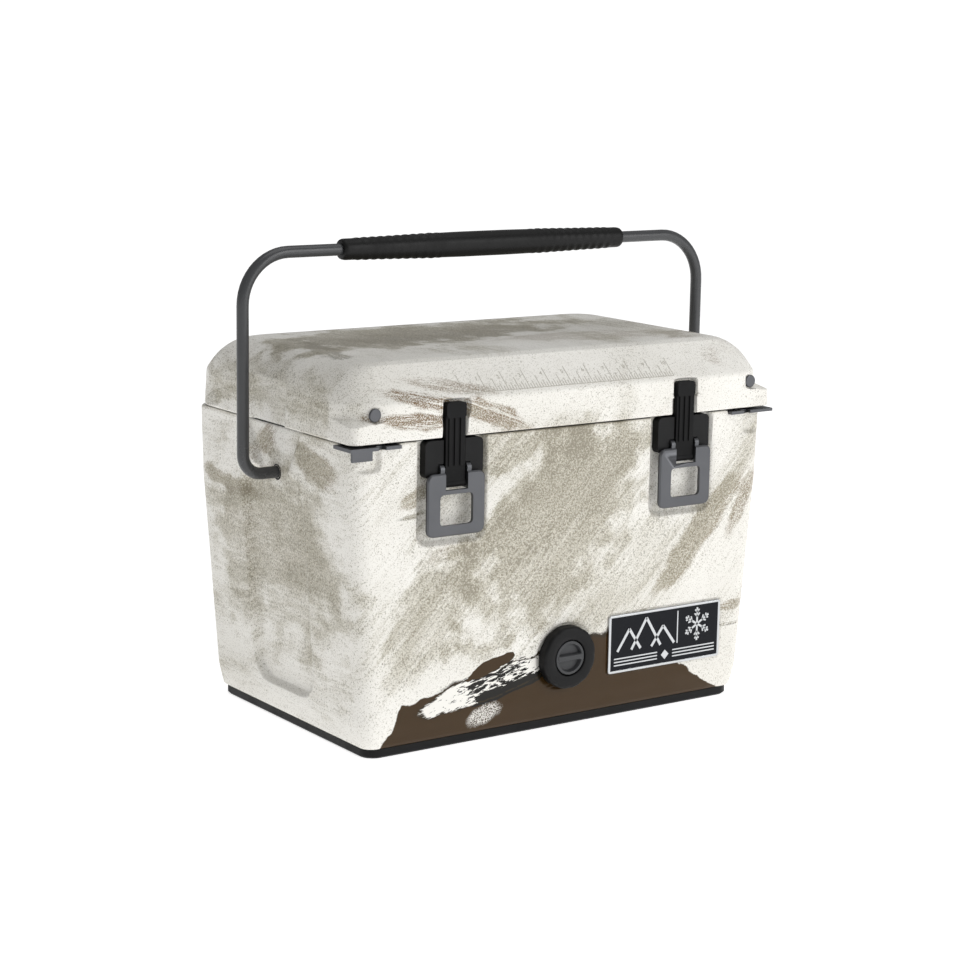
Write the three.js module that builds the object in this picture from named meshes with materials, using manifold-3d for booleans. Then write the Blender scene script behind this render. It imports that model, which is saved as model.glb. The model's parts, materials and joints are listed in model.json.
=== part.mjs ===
// Hard-sided cooler chest with a swinging bail handle, two over-centre latches, a drain and a hinged lid.
// Millimetres, +Z up. The chest's length runs along X, its front face looks toward -Y and its base rests on Z = 0.
import * as THREE from 'three';
import { mergeVertices } from 'three/addons/utils/BufferGeometryUtils.js';
import Module from 'manifold-3d';

const wasm = await Module();
wasm.setup();
const { Manifold, Mesh: SolidMesh } = wasm;

// Driving dimensions
const CLEAR = 0.3; // gap left where one piece sits in or on another
const HALF_L = 256.5; // half length at the parting line, over the corner ears
const HALF_D = 159.5; // half depth at the parting line, over the corner ears
const BODY_TOP = 306.5;
const LID_BOTTOM = 308.7;
const LID_TOP = 378.4;
const WALL = 13; // moulded outer wall, thick enough to carry every pocket and screw
const BASE_H = 9.4;
const BAND_TOP = 345.7; // where the lid's upright front band turns into the slope
const SLOPE_RUN = 39.4;
const SHOULDER_R = 44; // rounding of the lid's two ends, seen from the front
const LID_CORNER_R = 44; // plan rounding of the lid above its ears
const EAR_H = 22;
const RIVET_X = 228;
const RIVET_Z = 335.5;
const PIVOT_Z = 259;
const LEG_X = 280.7;
const BAR_Z = 473.3;
const ROD_R = 6;
const GRIP_HALF = 172;
const LATCH_X = 140;
const LATCH_Y = -155.5; // lever pin
const LATCH_Z = 278;
const PIN_SIDES = 24; // a running pin is round enough not to bind in its hole
const STRAP_DROP = 14; // strap pin below the lever pin when the latch is shut
const HINGE_X = 150;
const HINGE_Y = 157;
const HINGE_Z = 308;
const DRAIN_Z = 74;
const BADGE = { x: 128, z: 77, w: 146, h: 61 };

// Which way a shape built along its own +Z is turned
const TO_FRONT = new THREE.Matrix4().makeRotationX(Math.PI / 2); // own Z to -Y, own Y to +Z
const TO_X = new THREE.Matrix4().makeRotationY(Math.PI / 2).multiply(new THREE.Matrix4().makeRotationZ(Math.PI / 2));
const SIDES = [['left', -1], ['right', 1]];

// Solid helpers
function solid(geometry) {
  const bare = new THREE.BufferGeometry();
  bare.setAttribute('position', geometry.getAttribute('position').clone());
  if (geometry.index) bare.setIndex(geometry.index.clone());
  const merged = mergeVertices(bare, 1e-4);
  return new Manifold(new SolidMesh({
    numProp: 3,
    vertProperties: new Float32Array(merged.attributes.position.array),
    triVerts: new Uint32Array(merged.index.array),
  }));
}

function geometryOf(body) {
  const mesh = body.getMesh();
  const geometry = new THREE.BufferGeometry();
  geometry.setAttribute('position', new THREE.BufferAttribute(new Float32Array(mesh.vertProperties), 3));
  geometry.setIndex(new THREE.BufferAttribute(new Uint32Array(mesh.triVerts), 1));
  geometry.computeVertexNormals();
  return geometry;
}

const cut = (body, cutters) => cutters.reduce((left, cutter) => left.subtract(cutter), body);
const join = (parts) => parts.reduce((left, part) => left.add(part));

function box(x0, x1, y0, y1, z0, z1) {
  const geometry = new THREE.BoxGeometry(x1 - x0, y1 - y0, z1 - z0);
  geometry.translate((x0 + x1) / 2, (y0 + y1) / 2, (z0 + z1) / 2);
  return solid(geometry);
}

// One closed ring of a rounded rectangle: half sizes, corner radius, height, centre
function ringPoints({ hx, hy, r, z, cx = 0, cy = 0 }, steps) {
  const points = [];
  for (let corner = 0; corner < 4; corner += 1) {
    const sx = corner === 0 || corner === 3 ? 1 : -1;
    const sy = corner < 2 ? 1 : -1;
    for (let i = 0; i <= steps; i += 1) {
      const angle = (corner + i / steps) * Math.PI / 2;
      points.push([cx + sx * (hx - r) + r * Math.cos(angle), cy + sy * (hy - r) + r * Math.sin(angle), z]);
    }
  }
  return points;
}

// Skins a stack of rings that all have the same number of points, and caps both ends
function skin(rings) {
  const count = rings[0].length;
  const positions = rings.flat(2);
  const index = [];
  for (let level = 0; level < rings.length - 1; level += 1) {
    for (let i = 0; i < count; i += 1) {
      const j = (i + 1) % count;
      const low = level * count;
      const high = low + count;
      index.push(low + i, low + j, high + j, low + i, high + j, high + i);
    }
  }
  const last = (rings.length - 1) * count;
  for (let i = 1; i < count - 1; i += 1) {
    index.push(0, i + 1, i);
    index.push(last, last + i, last + i + 1);
  }
  const geometry = new THREE.BufferGeometry();
  geometry.setAttribute('position', new THREE.Float32BufferAttribute(positions, 3));
  geometry.setIndex(index);
  return geometry;
}

function loft(levels, turn = null, steps = 5) {
  const geometry = skin(levels.map((level) => ringPoints(level, steps)));
  if (turn) geometry.applyMatrix4(turn);
  return solid(geometry);
}

// Round bar from a point along one axis
function rod(axis, from, length, radius, sides = 16) {
  const geometry = new THREE.CylinderGeometry(radius, radius, length, sides);
  geometry.translate(0, length / 2, 0);
  if (axis === 'z') geometry.rotateX(Math.PI / 2);
  if (axis === 'x') geometry.rotateZ(-Math.PI / 2);
  geometry.translate(...from);
  return solid(geometry);
}

// Straight prism of a flat outline; plane 'yz' runs along X, 'xz' runs along Y
function prism(plane, outline, from, to) {
  const shape = new THREE.Shape(outline.map(([a, b]) => new THREE.Vector2(a, b)));
  const geometry = new THREE.ExtrudeGeometry(shape, { depth: to - from, bevelEnabled: false, curveSegments: 8 });
  geometry.translate(0, 0, from);
  if (plane === 'yz') geometry.applyMatrix4(TO_X);
  if (plane === 'xz') {
    geometry.rotateX(Math.PI / 2);
    geometry.translate(0, from + to, 0);
  }
  return solid(geometry);
}

// Bar swept along a flat path in the XZ plane
function sweep(path, radius, sides) {
  const rings = path.map(([x, z], i) => {
    const before = path[Math.max(i - 1, 0)];
    const after = path[Math.min(i + 1, path.length - 1)];
    const dx = after[0] - before[0];
    const dz = after[1] - before[1];
    const size = Math.hypot(dx, dz);
    return Array.from({ length: sides }, (_, k) => {
      const angle = (k / sides) * 2 * Math.PI;
      const out = radius * Math.cos(angle);
      return [x - (dz / size) * out, -radius * Math.sin(angle), z + (dx / size) * out];
    });
  });
  return solid(skin(rings));
}

// Shape turned about an axis: outline of [radius, height] pairs, closed on itself
function turned(outline, axis, from, sides = 24) {
  const points = outline.map(([r, h]) => new THREE.Vector2(r, h));
  points.push(points[0].clone());
  const geometry = new THREE.LatheGeometry(points, sides);
  if (axis === 'x') geometry.rotateZ(-Math.PI / 2);
  geometry.translate(...from);
  const made = solid(geometry);
  return made.volume() < 0 ? solid(flip(geometry)) : made;
}

function flip(geometry) {
  const index = geometry.index.array;
  for (let i = 0; i < index.length; i += 3) [index[i], index[i + 1]] = [index[i + 1], index[i]];
  return geometry;
}

// Materials, one per mesh so a mesh can be restyled alone
const LOOKS = {
  shell: { color: 0xe9e6df, roughness: 0.5, metalness: 0 },
  liner: { color: 0xf1f1ee, roughness: 0.45, metalness: 0 },
  foam: { color: 0xe6d9a8, roughness: 0.95, metalness: 0 },
  black: { color: 0x17171a, roughness: 0.6, metalness: 0 },
  rubber: { color: 0x141416, roughness: 0.85, metalness: 0 },
  metal: { color: 0x5c5d60, roughness: 0.42, metalness: 0.9 },
  tube: { color: 0x4c4e50, roughness: 0.4, metalness: 0.9 },
  steel: { color: 0x9a9c9e, roughness: 0.3, metalness: 1 },
  knob: { color: 0x3c3d40, roughness: 0.55, metalness: 0.1 },
  badge: { color: 0x26272a, roughness: 0.35, metalness: 0.6 },
};

const group = new THREE.Group();
group.name = 'cooler_chest';

function add(name, body, look) {
  const mesh = new THREE.Mesh(geometryOf(body), new THREE.MeshStandardMaterial(LOOKS[look]));
  mesh.name = name;
  group.add(mesh);
}

// Screw along one axis: head at the start point, shank running in the given direction
function screw(axis, [x, y, z], direction, { head = 3.5, headH = 1.8, shank = 1.9, length = 10 } = {}) {
  const shift = (amount) => [x, y, z].map((value, i) => value + ('xyz'[i] === axis ? amount : 0));
  const headFrom = direction > 0 ? shift(0) : shift(-headH);
  const shankFrom = direction > 0 ? shift(headH / 2) : shift(-headH - length);
  return rod(axis, headFrom, headH, head, 14).add(rod(axis, shankFrom, length + headH / 2, shank, 12));
}

// Body
const BODY_LEVELS = [
  { z: BASE_H + CLEAR, hx: 229, hy: 146, r: 14 },
  { z: 32, hx: 234, hy: 150, r: 17 },
  { z: 236, hx: 250, hy: 154, r: 20 },
  { z: BODY_TOP, hx: 251.5, hy: 154.5, r: 20 },
];
const inset = (levels, by, gap = 0) => levels.map((v) => ({
  ...v, hx: v.hx - by - gap, hy: v.hy - by - gap, r: Math.max(v.r - by, 4),
}));

const FOAM_TOP = 299.9;
function cavityLevels(gap) {
  const levels = inset(BODY_LEVELS, WALL, gap);
  levels[0] = { ...levels[0], z: BASE_H + 12 + gap };
  return levels;
}

function endPanelCutters() {
  const cutters = [];
  for (const [, side] of SIDES) {
    const outline = [[243.4, 262], [242, 236], [226.4, 38], [300, 38], [300, 262]];
    cutters.push(prism('xz', outline.map(([x, z]) => [side * x, z]), -59, 59));
    const fan = [[-15, 243], [15, 243], [56, BODY_TOP + 5], [-56, BODY_TOP + 5]];
    cutters.push(side > 0 ? prism('yz', fan, 243.4, 300) : prism('yz', fan, -300, -243.4));
  }
  return cutters;
}

function latchPocket(side) {
  const at = { cx: side * LATCH_X, cy: 263.5 };
  return loft([
    { hx: 35.5, hy: 54.5, r: 8, z: 147, ...at },
    { hx: 41, hy: 60, r: 11, z: 156, ...at },
  ], TO_FRONT, 3);
}

const drainHole = (radius) => rod('y', [0, -170, DRAIN_Z], 80, radius, 24);

const LATCH_SCREW_DX = [-6, 6];
const LATCH_SCREW_Z = 297;
const HINGE_SCREW_DX = [-18, 18];
const TIE_SCREWS = [[244.5, -136], [214, -148]];
const BASE_SCREWS = [[-205, -120], [205, -120], [-205, 120], [205, 120]];

function bodyShell() {
  const shell = loft(BODY_LEVELS).subtract(loft([
    ...cavityLevels(0).slice(0, 3), { ...cavityLevels(0)[3], z: BODY_TOP + 5 },
  ]));
  const cutters = [...endPanelCutters(), drainHole(13.3), rod('y', [0, -170, DRAIN_Z], 21.5, 33.5, 32)];
  for (const [, side] of SIDES) {
    cutters.push(latchPocket(side));
    cutters.push(rod('x', side > 0 ? [237.9, 0, PIVOT_Z] : [-300, 0, PIVOT_Z], 62.1, 8.75, 24));
    const x0 = side > 0 ? 200.7 : -260;
    cutters.push(box(x0, x0 + 59.3, -165, -127.7, 302.6, 320)); // seat of the tie-down plate
    const pocketX = side > 0 ? 222 : -256;
    cutters.push(box(pocketX, pocketX + 34, -165, -149.5, 285, 305)); // finger pocket under it
    cutters.push(box(side * HINGE_X - 30.5, side * HINGE_X + 30.5, 150.7, 170, 301.5, 320));
    for (const [x, y] of TIE_SCREWS) cutters.push(rod('z', [side * x, y, 291], 20, 2.1, 12));
    for (const dx of LATCH_SCREW_DX) {
      cutters.push(rod('y', [side * LATCH_X + dx, -160, LATCH_SCREW_Z], 18, 2.1, 12));
    }
    for (const dx of HINGE_SCREW_DX) {
      cutters.push(rod('y', [side * HINGE_X + dx, 145, 282], 20, 2.1, 12));
    }
  }
  for (const [x, y] of BASE_SCREWS) cutters.push(rod('z', [x, y, 0], 17.5, 2.1, 12));
  cutters.push(loft([{ hx: BADGE.w / 2 + 1, hy: BADGE.h / 2 + 1, r: 4, z: 149.6, cx: BADGE.x, cy: BADGE.z },
    { hx: BADGE.w / 2 + 1, hy: BADGE.h / 2 + 1, r: 4, z: 160, cx: BADGE.x, cy: BADGE.z }], TO_FRONT, 3));
  return cut(shell, cutters);
}
add('body_shell', bodyShell(), 'shell');

const TUB = [
  { z: 46, hx: 203, hy: 113, r: 11 },
  { z: 305, hx: 215, hy: 119.5, r: 13 },
];
function bodyLiner() {
  const rim = cavityLevels(CLEAR)[3];
  const flange = loft([{ ...rim, z: 300.2 }, { ...rim, z: BODY_TOP }]);
  const tub = loft(TUB).add(flange);
  const inside = TUB.map((v) => ({ ...v, hx: v.hx - 4, hy: v.hy - 4, r: v.r - 4 }));
  inside[0].z = 50;
  inside[1].z = BODY_TOP + 5;
  return cut(tub, [loft(inside), drainHole(11.3)]);
}
add('body_liner', bodyLiner(), 'liner');

function bodyFoam() {
  const levels = cavityLevels(CLEAR);
  const block = loft([...levels.slice(0, 3), { ...levels[3], z: FOAM_TOP }]);
  const tub = TUB.map((v) => ({ ...v, hx: v.hx + CLEAR, hy: v.hy + CLEAR }));
  tub[0].z = 46 - CLEAR;
  tub[1].z = BODY_TOP;
  return cut(block, [loft(tub), drainHole(13.3)]);
}
add('body_foam', bodyFoam(), 'foam');

// Base skid
const skid = loft([
  { z: 0, hx: 224.5, hy: 141.5, r: 14 },
  { z: 2, hx: 226.5, hy: 143.5, r: 15 },
  { z: BASE_H, hx: 226.5, hy: 143.5, r: 15 },
]);
add('base_skid', cut(skid, BASE_SCREWS.flatMap(([x, y]) => [
  rod('z', [x, y, -1], 12, 2.1, 12), rod('z', [x, y, -1], 4.2, 5.2, 16),
])), 'black');
BASE_SCREWS.forEach(([x, y], i) => add(`base_screw_${i + 1}`, screw('z', [x, y, 1.2], 1, { head: 4.6, length: 14 }), 'steel'));

// Nameplate
const plateRing = (grow, z) => ({ hx: BADGE.w / 2 + grow, hy: BADGE.h / 2 + grow, r: 3 + grow, z, cx: BADGE.x, cy: BADGE.z });
add('nameplate', loft([plateRing(0, 149.9), plateRing(0, 151.8), plateRing(-0.7, 152.4)], TO_FRONT, 3)
  .subtract(loft([plateRing(-2.6, 151.9), plateRing(-2.6, 155)], TO_FRONT, 3)), 'badge');

// Tie-down plates on the two front corners
for (const [name, side] of SIDES) {
  const x = (a, b) => (side > 0 ? [a, b] : [-b, -a]);
  const flat = box(...x(201, 256.5), -159.5, -128, 302.9, 306.2);
  let plate = cut(flat, [
    box(...x(190, 238.9), -141.6, -110, 300, 310),
    ...TIE_SCREWS.flatMap(([sx, sy]) => [
      rod('z', [side * sx, sy, 300], 10, 2.1, 12), rod('z', [side * sx, sy, 304.3], 5, 3.9, 14)]),
  ]);
  plate = plate.subtract(box(...x(218, 226), -165, -152.5, 300, 310));
  if (side < 0) plate = plate.add(box(...x(233, 255), -159.5, -156.5, 294, 303));
  add(`tie_down_plate_${name}`, plate, 'metal');
  TIE_SCREWS.forEach(([sx, sy], i) => add(`tie_down_screw_${name}_${i + 1}`,
    screw('z', [side * sx, sy, 306.2], -1, { headH: 1.6, length: 12 }), 'steel'));
}

// Drain: flange on the front, gasket, tube through both walls, nut inside, plug with a finger bar
const lathe = (outline, y, sides = 32) => turned(outline, 'y', [0, y, DRAIN_Z], sides);
add('drain_gasket', lathe([[14, 0], [30, 0], [30, 1], [14, 1]], -149.8), 'rubber');
add('drain_flange', lathe([[13.4, 0], [32, 0], [32, -9], [29.5, -11.5], [18.3, -11.5], [18.3, -5], [13.4, -5]],
  -150.1), 'black');
add('drain_tube', lathe([[8.6, 0], [13, 0], [13, 40], [11, 40], [11, 50], [8.6, 50]], -154.8, 24), 'knob');
add('drain_nut', lathe([[11.3, 0], [20, 0], [20, 4], [11.3, 4]], -108.8, 24), 'black');
const plugHead = rod('y', [0, -161, DRAIN_Z], 5.6, 17.2, 28);
const fingerBar = box(-15.5, 15.5, -162, -160.5, DRAIN_Z - 2.4, DRAIN_Z + 2.4);
add('drain_plug', join([plugHead, rod('y', [0, -156, DRAIN_Z], 16, 8.2, 20), fingerBar]), 'knob');

// Handle
for (const [name, side] of SIDES) {
  const from = side > 0 ? 238.2 : -243.3;
  const sleeve = rod('x', [from, 0, PIVOT_Z], 5.1, 8.4, PIN_SIDES);
  const bore = rod('x', [from - 1, 0, PIVOT_Z], 7.1, ROD_R + 0.1, PIN_SIDES);
  add(`pivot_bushing_${name}`, sleeve.subtract(bore), 'black');
}

function handlePath() {
  const foot = 20;
  const bend = 50;
  const half = [];
  half.push([239.2, PIVOT_Z]);
  for (let i = 0; i <= 6; i += 1) {
    const angle = -Math.PI / 2 + (i / 6) * (Math.PI / 2);
    half.push([LEG_X - foot + foot * Math.cos(angle), PIVOT_Z + foot + foot * Math.sin(angle)]);
  }
  for (let i = 0; i <= 8; i += 1) {
    const angle = (i / 8) * (Math.PI / 2);
    half.push([LEG_X - bend + bend * Math.cos(angle), BAR_Z - bend + bend * Math.sin(angle)]);
  }
  return [...half, ...half.map(([x, z]) => [-x, z]).reverse()];
}
add('handle_rod', sweep(handlePath(), ROD_R, 12), 'tube');
const gripOutline = [
  [6.2, -GRIP_HALF], [8.5, -GRIP_HALF], [10.3, -GRIP_HALF + 2.5], [10.8, -GRIP_HALF + 20], [12.9, -60], [13.2, 0],
  [12.9, 60], [10.8, GRIP_HALF - 20], [10.3, GRIP_HALF - 2.5], [8.5, GRIP_HALF], [6.2, GRIP_HALF],
];
add('handle_grip', turned(gripOutline, 'x', [0, 0, BAR_Z], 20), 'rubber');

// Latches
// Black block behind the top of the lever: a channel for the strap, slots for the lever's ears and two stub pins
function latchBracket(x) {
  const outline = { hx: 33, hy: 18, r: 5, cx: x, cy: 288.3 };
  const block = loft([{ ...outline, z: 147.3 }, { ...outline, z: 156.9 }], TO_FRONT, 4);
  const body = cut(block, [
    box(x - 12.4, x + 12.4, -170, -149.6, 260, 320),
    box(x - 18.1, x + 18.1, -170, -149.6, 260, LATCH_Z + 5.6),
    ...LATCH_SCREW_DX.map((dx) => rod('y', [x + dx, -165, LATCH_SCREW_Z], 30, 2.1, 12)),
  ]);
  const stubs = [x + 12.9, x - 18.6].map((from) => rod('x', [from, LATCH_Y, LATCH_Z], 5.7, 1.8, PIN_SIDES));
  return join([body, ...stubs]);
}

function latchLever(x) {
  let lever = loft([
    { hx: 33, hy: 30.5, r: 7, z: 158.3, cx: x, cy: 244.5 },
    { hx: 33, hy: 30.5, r: 7, z: 160.6, cx: x, cy: 244.5 },
    { hx: 31.6, hy: 29.1, r: 5.6, z: 162, cx: x, cy: 244.5 },
  ], TO_FRONT, 3);
  lever = lever.subtract(loft([
    { hx: 18.8, hy: 15, r: 4, z: 150, cx: x, cy: 239.5 },
    { hx: 18.8, hy: 15, r: 4, z: 170, cx: x, cy: 239.5 },
  ], TO_FRONT, 3));
  lever = lever.subtract(box(x - 12.6, x + 12.6, -170, -150, 258.5, 280));
  for (const side of [-1, 1]) {
    const [a, b] = side > 0 ? [12.8, 17.6] : [-17.6, -12.8];
    lever = lever.add(box(x + a, x + b, -160, LATCH_Y + 4, 258.8, LATCH_Z));
    lever = lever.add(rod('x', [x + a, LATCH_Y, LATCH_Z], 4.8, 4.9, 20));
  }
  return cut(lever, [
    rod('x', [x - 20, LATCH_Y, LATCH_Z], 40, 1.88, PIN_SIDES),
    rod('x', [x - 20, LATCH_Y, LATCH_Z - STRAP_DROP], 40, 1.88, PIN_SIDES),
  ]);
}

function latchStrap(x) {
  const z0 = LATCH_Z - STRAP_DROP;
  const tip = { hx: 11.1, hy: 7.5, r: 3, cx: x, cy: 334.5 };
  const parts = [
    box(x - 11.1, x + 11.1, LATCH_Y - 3, LATCH_Y + 3, z0, 333),
    rod('x', [x - 11.8, LATCH_Y, z0], 23.6, 3.9, 20),
    loft([{ ...tip, z: 152.6 }, { ...tip, z: 160 }], TO_FRONT, 3),
  ];
  for (const dx of [-6.5, 0, 6.5]) parts.push(box(x + dx - 1.6, x + dx + 1.6, -159.7, -157, 281, 329));
  return join(parts).subtract(rod('x', [x - 20, LATCH_Y, z0], 40, 1.88, PIN_SIDES));
}

for (const [name, side] of SIDES) {
  const x = side * LATCH_X;
  add(`latch_bracket_${name}`, latchBracket(x), 'black');
  add(`latch_lever_${name}`, latchLever(x), 'metal');
  add(`latch_strap_${name}`, latchStrap(x), 'rubber');
  add(`strap_pin_${name}`, rod('x', [x - 17, LATCH_Y, LATCH_Z - STRAP_DROP], 34, 1.8, PIN_SIDES), 'steel');
  LATCH_SCREW_DX.forEach((dx, i) => add(`latch_screw_${name}_${i + 1}`,
    screw('y', [x + dx, -151.7, LATCH_SCREW_Z], 1, { length: 7.3 }), 'steel'));
}

// Lid
function lidOuter() {
  const radius = SHOULDER_R;
  const endX = HALF_L - 1;
  const front = [[-endX, LID_BOTTOM], [endX, LID_BOTTOM]];
  for (let i = 0; i <= 8; i += 1) {
    const angle = (i / 8) * Math.PI / 2;
    front.push([endX - 2 - radius + radius * Math.cos(angle), LID_TOP - radius + radius * Math.sin(angle)]);
  }
  for (let i = 8; i >= 0; i -= 1) {
    const angle = (i / 8) * Math.PI / 2;
    front.push([-(endX - 2 - radius + radius * Math.cos(angle)), LID_TOP - radius + radius * Math.sin(angle)]);
  }
  const depth = HALF_D - 1;
  const flat = depth - SLOPE_RUN;
  const sideView = [[-depth, LID_BOTTOM], [depth, LID_BOTTOM], [depth, BAND_TOP - 3], [depth - 1, BAND_TOP],
    [flat + 3, LID_TOP - 2], [flat - 4, LID_TOP], [-flat + 4, LID_TOP], [-flat - 3, LID_TOP - 2],
    [-depth + 1, BAND_TOP], [-depth, BAND_TOP - 3]];
  const plan = loft([{ z: LID_BOTTOM, hx: endX, hy: depth, r: LID_CORNER_R },
    { z: LID_TOP + 1, hx: endX, hy: depth, r: LID_CORNER_R }], null, 8);
  return prism('xz', front, -200, 200).intersect(prism('yz', sideView, -300, 300)).intersect(plan);
}

function lidShell() {
  const band = loft([
    { z: LID_BOTTOM, hx: HALF_L, hy: HALF_D, r: 10 },
    { z: LID_BOTTOM + 17, hx: HALF_L, hy: HALF_D, r: 10 },
    { z: LID_BOTTOM + EAR_H, hx: HALF_L - 7, hy: HALF_D - 5, r: 12 },
  ]);
  const ears = band.intersect(box(-300, 300, -200, -100, LID_BOTTOM, LID_BOTTOM + EAR_H)); // front corners only
  const hollow = loft([{ z: LID_BOTTOM - 5, hx: 226, hy: 128, r: 26 }, { z: 352, hx: 222, hy: 124, r: 26 }]);
  const cutters = [hollow];
  for (const [, side] of SIDES) {
    cutters.push(box(side * LATCH_X - 13.2, side * LATCH_X + 13.2, -170, -151.3, 300, 344));
    cutters.push(box(side * HINGE_X - 30.5, side * HINGE_X + 30.5, 150.7, 170, 300, 314.8));
    cutters.push(loft([
      { z: 249.8, hx: 28, hy: 26, r: 8, cx: 0, cy: 324.5 }, { z: 262, hx: 36, hy: 33, r: 12, cx: 0, cy: 324.5 },
    ], side > 0 ? TO_X : new THREE.Matrix4().makeRotationZ(Math.PI).multiply(TO_X), 4));
    for (const dx of HINGE_SCREW_DX) cutters.push(rod('y', [side * HINGE_X + dx, 148, 321.5], 20, 2.1, 12));
    cutters.push(rod('y', [side * RIVET_X, -165, RIVET_Z], 12, 7.2, 24));
    cutters.push(rod('y', [side * RIVET_X, -165, RIVET_Z], 19, 3.1, 12));
  }
  return cut(lidOuter().add(ears), cutters);
}
add('lid_shell', lidShell(), 'shell');

const lidPlug = [{ z: 298, hx: 203, hy: 107.5, r: 9 }, { z: 312, hx: 205, hy: 109.5, r: 11 }];
const gasketRing = (inward, z) => ({ hx: 249 - inward, hy: 151 - inward, r: 20 - inward, z });
const gasket = loft([gasketRing(0, 306.9), gasketRing(0, 308.4)])
  .subtract(loft([gasketRing(11, 305), gasketRing(11, 310)]));
const linerPlate = loft([{ z: LID_BOTTOM, hx: 225.2, hy: 127.2, r: 26 }, { z: 313.5, hx: 224.8, hy: 126.8, r: 26 }]);
add('lid_liner', linerPlate.add(loft(lidPlug)), 'liner');
add('lid_gasket', gasket, 'rubber');
add('lid_foam', loft([{ z: 313.9, hx: 224.6, hy: 126.6, r: 25 }, { z: 351.6, hx: 221.4, hy: 123.4, r: 25 }]), 'foam');
for (const [name, side] of SIDES) {
  const button = rod('y', [side * RIVET_X, -156.2, RIVET_Z], 2.9, 6.5, 20);
  add(`lid_rivet_${name}`, button.add(rod('y', [side * RIVET_X, -154, RIVET_Z], 7, 2.9, 12)), 'metal');
}

// Rear hinges
for (const [name, side] of SIDES) {
  const x = side * HINGE_X;
  const bodyLeaf = join([
    box(x - 28, x + 28, 154.9, 157.2, 262, 303),
    ...[-28, 14.3].map((dx) => rod('x', [x + dx, HINGE_Y, HINGE_Z], 13.7, 5, 20)),
    ...[-28, 14.3].map((dx) => box(x + dx, x + dx + 13.7, 154.9, 157.2, 300, 306)),
  ]);
  const holes = HINGE_SCREW_DX.map((dx) => rod('y', [x + dx, 150, 282], 20, 2.1, 12));
  add(`hinge_leaf_body_${name}`, cut(bodyLeaf, [...holes, rod('x', [x - 40, HINGE_Y, HINGE_Z], 80, 2.08, PIN_SIDES)]), 'metal');
  const lidLeaf = join([
    box(x - 28, x + 28, 159.8, 162, 314, 328.2),
    box(x - 13.7, x + 13.7, 159.8, 162, 309, 315),
    rod('x', [x - 13.7, HINGE_Y, HINGE_Z], 27.4, 5, 20),
  ]);
  const sinks = HINGE_SCREW_DX.flatMap((dx) => [
    rod('y', [x + dx, 150, 321.5], 20, 2.1, 12), rod('y', [x + dx, 160.4, 321.5], 5, 3.9, 14)]);
  add(`hinge_leaf_lid_${name}`, cut(lidLeaf, [...sinks, rod('x', [x - 40, HINGE_Y, HINGE_Z], 80, 2.08, PIN_SIDES)]), 'metal');
  add(`hinge_pin_${name}`, rod('x', [x - 28, HINGE_Y, HINGE_Z], 56, 2, PIN_SIDES), 'steel');
  HINGE_SCREW_DX.forEach((dx, i) => {
    add(`hinge_screw_body_${name}_${i + 1}`, screw('y', [x + dx, 159.3, 282], -1, { length: 10 }), 'steel');
    add(`hinge_screw_lid_${name}_${i + 1}`, screw('y', [x + dx, 162, 321.5], -1, { headH: 1.5, length: 9 }), 'steel');
  });
}

export default group;
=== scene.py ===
"""Cooler chest: the finished surfaces, materials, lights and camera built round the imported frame."""

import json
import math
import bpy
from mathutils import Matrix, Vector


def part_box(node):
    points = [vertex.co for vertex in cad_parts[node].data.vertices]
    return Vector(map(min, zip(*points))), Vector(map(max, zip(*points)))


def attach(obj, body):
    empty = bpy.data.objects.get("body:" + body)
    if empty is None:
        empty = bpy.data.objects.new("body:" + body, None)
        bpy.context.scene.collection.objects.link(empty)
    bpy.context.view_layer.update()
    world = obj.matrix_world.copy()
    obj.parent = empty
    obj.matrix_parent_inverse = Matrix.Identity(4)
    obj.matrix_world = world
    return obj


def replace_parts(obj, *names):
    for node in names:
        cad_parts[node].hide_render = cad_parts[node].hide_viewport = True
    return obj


bl_info = {
    "name": "Cooler Chest",
    "version": (1, 0, 0),
    "blender": (4, 5, 0),
    "location": "View3D > Sidebar > Cooler Chest",
    "description": "Builds a hard-sided cooler chest with a bail handle, strap latches and a printed shell",
    "category": "Add Mesh",
}

from functools import partial, reduce

import bmesh
import bpy
import numpy as np
from bpy.props import FloatProperty, FloatVectorProperty, IntProperty, PointerProperty, StringProperty
from mathutils import Matrix, Vector

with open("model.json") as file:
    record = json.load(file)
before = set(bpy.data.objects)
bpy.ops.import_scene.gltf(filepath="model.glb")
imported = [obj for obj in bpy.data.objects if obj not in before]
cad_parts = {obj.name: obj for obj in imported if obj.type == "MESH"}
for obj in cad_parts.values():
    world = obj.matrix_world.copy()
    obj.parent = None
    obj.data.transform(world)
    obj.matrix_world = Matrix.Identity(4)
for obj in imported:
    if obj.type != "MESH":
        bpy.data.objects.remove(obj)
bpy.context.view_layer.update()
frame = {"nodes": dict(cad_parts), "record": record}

MM = 0.001
INCH = 25.4 * MM
SIDES = (("left", -1), ("right", 1))

# Heights and half sizes of the moulded chest, in millimetres, which the frame was drawn to
BODY_LEVELS = ((9.7, 229, 146, 14), (32, 234, 150, 17), (236, 250, 154, 20), (306.5, 251.5, 154.5, 20))
WALL = 13
PART_Z = 308.7  # underside of the lid
LID_TOP = 378.4
BAND_TOP = 345.7
SHOULDER_R = 44
TUB = ((46, 203, 113, 11), (305, 215, 119.5, 13))
LATCH_X = 140
DRAIN_Z = 74
PLATE_X, PLATE_Z = 128, 77
PIVOT_Z = 259


# ---------------------------------------------------------------- settings


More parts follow.
